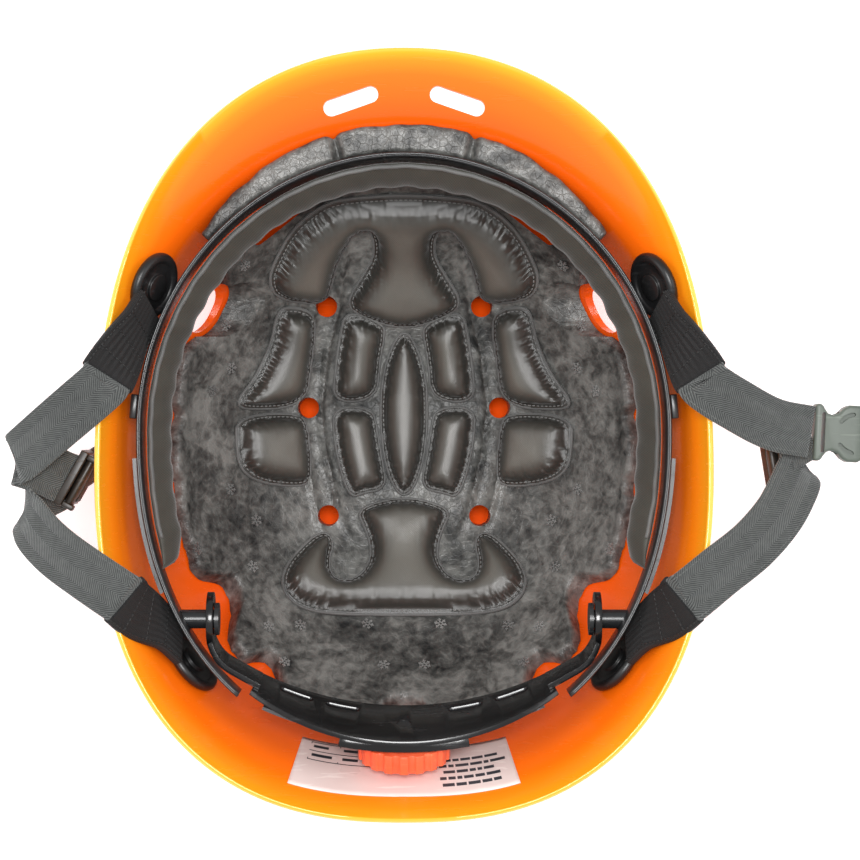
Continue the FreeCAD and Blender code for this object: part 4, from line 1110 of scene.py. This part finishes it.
def makeBrowPad(look):
    angles = np.linspace(-30, 210, 420)
    outline = crossSection(1, 1, 0.49, 7)

    def section(angle):
        fade = min(1.0, (angle + 30) / 7, (210 - angle) / 7)
        fade = math.sqrt(max(0.0, 1 - (1 - fade) ** 2)) * 0.94 + 0.06
        ripple = noise.noise(Vector((angle * 0.16, 3.0, 0))) + 0.5 * math.sin(angle * 0.9)
        thick = look["padThick"] * fade * (1 + 0.10 * ripple)
        height = look["padHeight"] * (0.25 + 0.75 * fade)
        up = outline[:, 1] * height
        middle = bandTop(angle) - 1.5 - height / 2 + 0.7 * ripple * fade
        lean = look["lean"] * (0.5 - outline[:, 1])
        pinch = 1 + 0.12 * np.cos(outline[:, 1] * math.pi * 2)
        through = (outline[:, 0] - 0.5) * thick * pinch + look["padInside"]
        return through - lean, middle + up

    pad = ringStrip("browPad", angles, section, browCloth)
    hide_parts("brow_pad")
    topLine, rows = [], []
    for angle in np.linspace(-24, 204, 460):
        offsets, heights = section(angle)
        top = int(np.argmax(heights - 0.35 * offsets))
        point = bandPoint(angle, heights[top] + 0.25, offsets[top] - 0.4)
        topLine.append(point)
        low = int(np.argmin(offsets * 1.0 + 0.12 * heights))
        rows.append(bandPoint(angle, heights[low] + 3.2, offsets[low] + 0.55))
    piping = tube("browPiping", topLine, 0.75, bindingTape)
    sewing = stitches("browStitches", [rows], threadGrey, spacing=2.8, length=1.1, radius=0.26)
    fastened("root", "pad_fabric", pad, piping, sewing)


makeHeadband(bandLook)
makeBrowPad(bandLook)
print("headband done")


strapLook = {"width": 19.0, "thick": 1.6, "sleeveWidth": 20.6, "sleeveThick": 3.2}
hingeFront, hingeRear = np.array([-107.5, 17.5, 136.0]), np.array([-101.0, -59.5, 141.5])
webs = {
    "frontLeft": {
        "nodes": ("web_front_left", "web_return_left"), "body": "strap_left", "sleeve": ("front", "left"),
        "path": [(-108.7, 15.8, 136.1), (-116.5, 9.0, 136.0), (-125.0, 2.0, 133.8), (-133.5, -5.0, 130.6),
                 (-138.4, -9.0, 128.6), (-140.2, -10.4, 127.4), (-139.9, -10.9, 126.0),
                 (-137.2, -11.8, 125.3), (-131.0, -14.0, 123.6), (-124.8, -17.0, 121.9),
                 (-121.6, -18.2, 119.2)],
        "across": [(-0.82, 0.56, 0.08), (-0.72, 0.69, 0.04), (-0.55, 0.83, 0), (-0.38, 0.92, 0),
                   (-0.26, 0.96, 0), (-0.22, 0.97, 0), (-0.2, 0.98, 0), (-0.15, 0.98, 0), (0.05, 1, 0),
                   (0.35, 0.93, 0), (0.46, 0.89, 0)]},
    "rearLeft": {
        "nodes": ("web_rear_left",), "body": "strap_left", "sleeve": ("rear", "left"),
        "path": [(-102.6, -58.6, 141.6), (-113.0, -52.0, 138.6), (-124.0, -44.8, 133.6),
                 (-131.5, -38.6, 128.6), (-136.0, -33.0, 125.0), (-137.8, -28.8, 121.6),
                 (-136.4, -26.0, 117.6), (-131.5, -23.0, 114.8), (-125.5, -19.4, 113.0)],
        "across": [(-0.60, -0.79, 0.08), (-0.56, -0.83, 0), (-0.50, -0.86, 0), (-0.38, -0.92, 0),
                   (-0.25, -0.97, 0), (-0.2, -0.97, 0.05), (-0.22, -0.97, 0.05), (-0.35, -0.93, 0),
                   (-0.48, -0.87, 0)]},
    "frontRight": {
        "nodes": ("web_front_right",), "body": "strap_right", "sleeve": ("front", "right"),
        "path": [(108.7, 15.8, 136.1), (118.3, 9.6, 135.8), (132.9, 2.2, 131.4), (147.4, -0.7, 127.6)],
        "across": [(0.82, 0.56, 0.08), (0.60, 0.80, 0), (0.25, 0.97, 0), (-0.05, 1, 0)]},
    "returnRight": {
        "nodes": ("web_return_right",), "body": "strap_right", "sleeve": None,
        "path": [(147.4, -1.4, 124.9), (144.6, -2.6, 123.2), (141.0, -5.6, 119.6), (139.6, -8.8, 115.6)],
        "across": [(-0.05, 1, 0), (-0.05, 1, 0), (-0.1, 1, 0), (-0.15, 0.98, 0)]},
    "rearRight": {
        "nodes": ("web_rear_right",), "body": "strap_right", "sleeve": ("rear", "right"),
        "path": [(102.6, -58.6, 141.6), (113.0, -50.6, 138.6), (125.6, -41.3, 133.6), (135.5, -31.0, 128.4),
                 (141.4, -21.4, 124.4), (144.6, -14.6, 120.6), (145.2, -10.6, 116.4), (143.4, -10.4, 113.4),
                 (140.4, -11.8, 112.4)],
        "across": [(0.60, -0.79, 0.08), (0.60, -0.80, 0), (0.64, -0.77, 0), (0.70, -0.71, 0),
                   (0.66, -0.75, 0.05), (0.50, -0.86, 0.1), (0.34, -0.93, 0.1), (0.22, -0.97, 0),
                   (0.16, -0.99, 0)]},
}
sleevePaths = {
    "front": ([inside(154, 113.5, 6.9), inside(160, 119, 6.9), inside(165.5, 127, 6.4),
               hingeFront + (1.0, 1.5, -0.6)],
              [(-0.34, 0.20, 0.92), (-0.42, 0.22, 0.86), (-0.66, 0.34, 0.64), (-0.82, 0.54, 0.15)]),
    "rear": ([inside(223.5, 110, 7.6), inside(218, 119, 7.8), inside(214, 131, 7.4),
              hingeRear + (1.2, -1.0, -0.8)],
             [(-0.30, -0.24, 0.92), (-0.32, -0.32, 0.88), (-0.50, -0.50, 0.65), (-0.62, -0.76, 0.15)]),
}


def mirrorX(points):
    return [(-p[0], p[1], p[2]) for p in points]


def sleevePath(end, side):
    path, across = sleevePaths[end]
    return (mirrorX(path), mirrorX(across)) if side == "right" else (path, across)


def edgeRows(line, sides, through, width, lift, back=False):
    # two rows along the edges of a strap, just proud of one face
    face = -1 if back else 1
    return [line + sides * s * (width / 2 - 1.5) + through * face * lift for s in (-1, 1)]


def edgeSewing(name, line, sides, through):
    rows = []
    for back in (False, True):
        rows += edgeRows(line, sides, through, strapLook["width"], strapLook["thick"] / 2 + 0.02, back)
    return stitches(name, rows, strapGreyThread, spacing=1.5, length=0.6, radius=0.2)


def makeWeb(name, web):
    path, across = web["path"], web["across"]
    if web["sleeve"]:                             # the webbing starts inside its sleeve and follows it out
        tucked = [smoothPath(points, 16)[[-13, -1]].tolist() for points in sleevePath(*web["sleeve"])]
        path, across = tucked[0] + path, tucked[1] + across
    strip, *course = sweep("web_" + name, path, across, strapSection, strapGrey, perStep=14)
    for node in web["nodes"]:
        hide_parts(node)
    for piece in (strip, edgeSewing("webEdge_" + name, *course)):
        if web["sleeve"]:
            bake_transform(piece)
        else:
            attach(piece, web["body"])


strapSection = crossSection(strapLook["width"], strapLook["thick"], 0.7, 4)
for webName, web in webs.items():
    makeWeb(webName, web)


def sleeveRows(line, sides, through):             # stitches along both edges, and bar tacks across
    width, half = strapLook["sleeveWidth"], strapLook["sleeveThick"] / 2
    rows = []
    for back in (False, True):
        face = -1 if back else 1
        rows += edgeRows(line, sides, through, width, half, back)
        for share in (0.25, 0.5, 0.75):
            k = int(share * (len(line) - 1))
            rows.append(np.array([line[k] + sides[k] * w + through[k] * face * half
                                  for w in np.linspace(-8, 8, 12)]))
    return rows


def makeSleeves():
    section = crossSection(strapLook["sleeveWidth"], strapLook["sleeveThick"], 1.2, 4)
    for end in ("front", "rear"):
        for side in ("left", "right"):
            name = "%s_%s" % (end, side)
            path, across = sleevePath(end, side)
            sleeve, *course = sweep("sleeve_" + name, path, across, section, sleeveBlack, perStep=16)
            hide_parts("sleeve_" + name)
            sewing = stitches("sleeveStitches_" + name, sleeveRows(*course), threadBlack, spacing=1.7,
                              length=0.75, radius=0.33)
            fastened("root", "sleeve_fabric", sleeve, sewing)


makeSleeves()


def makeChinWeb():                                # from the divider's lowest slot, round under the shell
    path = [(-122.0, -17.2, 102.9), (-119.2, -17.6, 100.2), (-119.6, -15.4, 95.5),
            inside(183, 88, -9), inside(176, 80, -6.5), inside(168, 72, -6), inside(162, 67, -6)]
    across = [(0.48, 0.87, 0), (0.48, 0.87, 0), (0.46, 0.86, 0.15), (0.2, 0.6, 0.75), (0, 0.48, 0.87),
              (0, 0.45, 0.89), (-0.05, 0.42, 0.9)]
    web, *course = sweep("chinWeb_left", path, across, strapSection, strapGrey, perStep=14)
    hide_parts("chin_web_left")
    fastened("strap_left", "webbing", web, edgeSewing("chinEdge_left", *course))


makeChinWeb()
print("straps done")


hardParts = {
    "divider_left": ("strap_left", dividerBrown, 0.5, "divider_plastic"),
    "divider_ears_left": ("strap_left", dividerBrown, 0.4, "divider_plastic"),
    "divider_lever_left": ("lever_left", dividerBrown, 0.6, "divider_plastic"),
    "divider_right": ("strap_right", dividerBrown, 0.5, "divider_plastic"),
    "divider_ears_right": ("strap_right", dividerBrown, 0.4, "divider_plastic"),
    "divider_lever_right": ("lever_right", dividerBrown, 0.6, "divider_plastic"),
    "buckle_male": ("strap_left", glossBlack, 0.5, "buckle_plastic"),
    "band_clip_left": ("root", bandGrey, 0.5, "band_plastic"),
    "band_clip_right": ("root", bandGrey, 0.5, "band_plastic"),
    "anchor_front_left": ("root", anchorBlack, 0.35, "gloss_black"),
    "anchor_front_right": ("root", anchorBlack, 0.35, "gloss_black"),
    "anchor_rear_left": ("root", anchorBlack, 0.35, "gloss_black"),
    "anchor_rear_right": ("root", anchorBlack, 0.35, "gloss_black"),
    "nape_cradle": ("cradle", glossBlack, 0.35, "gloss_black"),
    "adjuster_housing": ("cradle", glossBlack, 0.35, "gloss_black"),
    "adjuster_wheel": ("wheel", wheelCoral, 0.35, "wheel_plastic"),
    "hub_cap": ("wheel", wheelCoral, 0.3, "wheel_plastic"),
}
for node, (body, material, bevel, slotName) in hardParts.items():
    fastened(body, slotName, fromCad(node + "_soft", node, material, bevel))


buckleLook = {"thick": 8.6, "place": (148.7, -0.7, 124.6), "turn": -3.0}


def makeSocketBuckle(look):
    # the socket half of the buckle: a bar, a waist and a broad mouth, with a curved window on each side
    half = [(0, 10.4), (2.4, 10.4), (3.4, 8.6), (4.6, 7.0), (6.4, 6.4), (8.4, 7.2), (10.2, 9.2),
            (12.2, 10.3), (15.8, 10.3), (17.6, 9.2), (18.0, 7.0)]
    body = prism("socketBuckle", np.array([(x, -y) for x, y in half] + half[::-1], float), look["thick"])
    softened(body, 1.7, 4, 50)
    cutters = [placed(prism("mouth", boxOutline(14, 15.4), 5.2, 1.2), (13.5, 0, 0)),
               placed(prism("slit", boxOutline(1.4, 15), 20, 0.6), (3.0, 0, 0))]
    window = np.array([(9.2, 3.0), (11.5, 5.4), (14.6, 6.4), (14.2, 8.0), (10.8, 6.9), (8.3, 4.4)])
    for side in (-1, 1):
        cutters.append(prism("window", rounded(window * (1, side)), 20))
    cutBy(body, cutters)
    placed(body, look["place"], (look["turn"], "Z"))
    bakePlace(body)
    body.data.materials.clear()
    body.data.materials.append(buckleGrey)
    smoothShade(body, 38)
    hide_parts("buckle_female")
    fastened("strap_right", "buckle_plastic", body)


makeSocketBuckle(buckleLook)


def makeGripRibs():                               # ribs across the outer face of each locking lever
    for name, centre, turn, side in (("left", (-121.5, -17.5, 110.5), 61.0, 1),
                                     ("right", (138.5, -12.5, 110.5), 99.0, -1)):
        place = Matrix.Translation(Vector(centre)) @ Matrix.Rotation(math.radians(turn), 4, "Z")
        ribs = []
        for drop in (3.2, 5.4, 7.6, 9.8, 12.0):
            line = [place @ Vector((x, -side * 5.0, 9.0 - drop)) for x in np.linspace(-7.2, 7.2, 9)]
            ribs.append(tube("rib", [tuple(p) for p in line], 0.62, dividerBrown, sides=10))
        fastened("lever_" + name, "divider_plastic", joinAll("leverRibs_" + name, ribs))


makeGripRibs()
plainParts = {bandGrey: ("rack_left", "rack_right", "band_rail_left", "band_rail_right", "pivot_pin_left",
                         "pivot_pin_right", "pinion"),
              anchorBlack: ("anchor_rivets",)}
for material, nodes in plainParts.items():
    for node in nodes:
        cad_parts[node].data.materials.clear()
        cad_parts[node].data.materials.append(material)
print("hard parts done")


labelLook = {"spread": 18.3, "low": 100.6, "high": 132.2, "lift": 2.62, "columns": 60, "rows": 16, "seed": 11}


def onLabel(u, v, lift):
    # a place on the label; u from left to right and v from the inner edge to the rim edge, 0 to 1
    azimuth = 270 + labelLook["spread"] * (2 * np.asarray(u, float) - 1)
    z = labelLook["low"] + (labelLook["high"] - labelLook["low"]) * np.asarray(v, float)
    return inside(azimuth, z, lift)


def patch(u0, v0, u1, v1, lift, columns=12, rows=2):
    u, v = np.meshgrid(np.linspace(u0, u1, columns), np.linspace(v0, v1, rows))
    return onLabel(u, v, lift).reshape(-1, 3), gridFaces(rows, columns)


def patches(name, places, lift, material):
    points, faces = [], []
    for place in places:
        made, cells = patch(*place, lift)
        start = sum(len(p) for p in points)
        points.append(made)
        faces += [tuple(start + k for k in face) for face in cells]
    return outward(meshObject(name, np.concatenate(points), faces, material))


def makeLabel(look):
    columns, rows = look["columns"], look["rows"]
    u, v = np.meshgrid(np.linspace(0, 1, columns), np.linspace(0, 1, rows))
    front = onLabel(u, v, look["lift"] + 0.12).reshape(-1, 3)
    back = onLabel(u, v, look["lift"]).reshape(-1, 3)
    cells = gridFaces(rows, columns)
    size = len(front)
    order = np.arange(size).reshape(rows, columns)
    border = [*order[0], *order[1:, -1], *order[-1, -2::-1], *order[-2:0:-1, 0]]
    border = [int(k) for k in border]
    faces = cells + [tuple(k + size for k in face[::-1]) for face in cells]
    faces += [(a, b, b + size, a + size) for a, b in zip(border, border[1:] + border[:1])]
    film = outward(meshObject("labelSheet", np.vstack([front, back]), faces, labelFilm))
    chance = Random(look["seed"])
    places = []
    for v in (0.06, 0.26, 0.46):                  # table rules
        places.append((0.05, v, 0.34, v + 0.016))
    for u in (0.05, 0.19, 0.34):
        places.append((u, 0.06, u + 0.004, 0.476))
    for row in range(2):                          # a short bar in each cell of the table
        for column in range(2):
            left = 0.065 + 0.145 * column
            places.append((left, 0.13 + 0.2 * row, left + 0.05 + 0.05 * chance.random(), 0.19 + 0.2 * row))
    for row in range(5):                          # rows of bars
        left = 0.66 + 0.02 * chance.random()
        while left < 0.9:
            right = left + 0.02 + 0.05 * chance.random()
            places.append((left, 0.32 + 0.12 * row, right, 0.375 + 0.12 * row))
            left = right + 0.008
    ink = patches("labelPrint", places, look["lift"] + 0.17, labelInk)
    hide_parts("size_label")
    fastened("root", "label_film", film, ink)


makeLabel(labelLook)
print("label done")


floorCorners = [(*corner, -0.3) for corner in boxOutline(8000, 8000)]
floor = meshObject("floor", floorCorners, [(0, 1, 2, 3)], floorPaper, smooth=False)
world = bpy.data.worlds.new("studio")
scene.world = world
world.use_nodes = True
world.node_tree.nodes["Background"].inputs["Color"].default_value = (1.0, 1.0, 1.0, 1)
world.node_tree.nodes["Background"].inputs["Strength"].default_value = 0.54


def softbox(name, place, target, width, height, power):
    light = bpy.data.objects.new(name, bpy.data.lights.new(name, "AREA"))
    scene.collection.objects.link(light)
    light.data.shape, light.data.size, light.data.size_y = "RECTANGLE", width, height
    light.data.energy = power
    light.location = place
    light.rotation_euler = (Vector(target) - Vector(place)).to_track_quat("-Z", "Y").to_euler()


softbox("overheadLight", (0.0, 0.12, 1.25), (0, 0, 0.05), 0.45, 0.36, 13.0)
softbox("leftLight", (-1.1, 0.3, 0.8), (0, 0, 0.05), 0.8, 0.8, 3.5)
softbox("rightLight", (1.1, 0.2, 0.8), (0, 0, 0.05), 0.8, 0.8, 3.5)
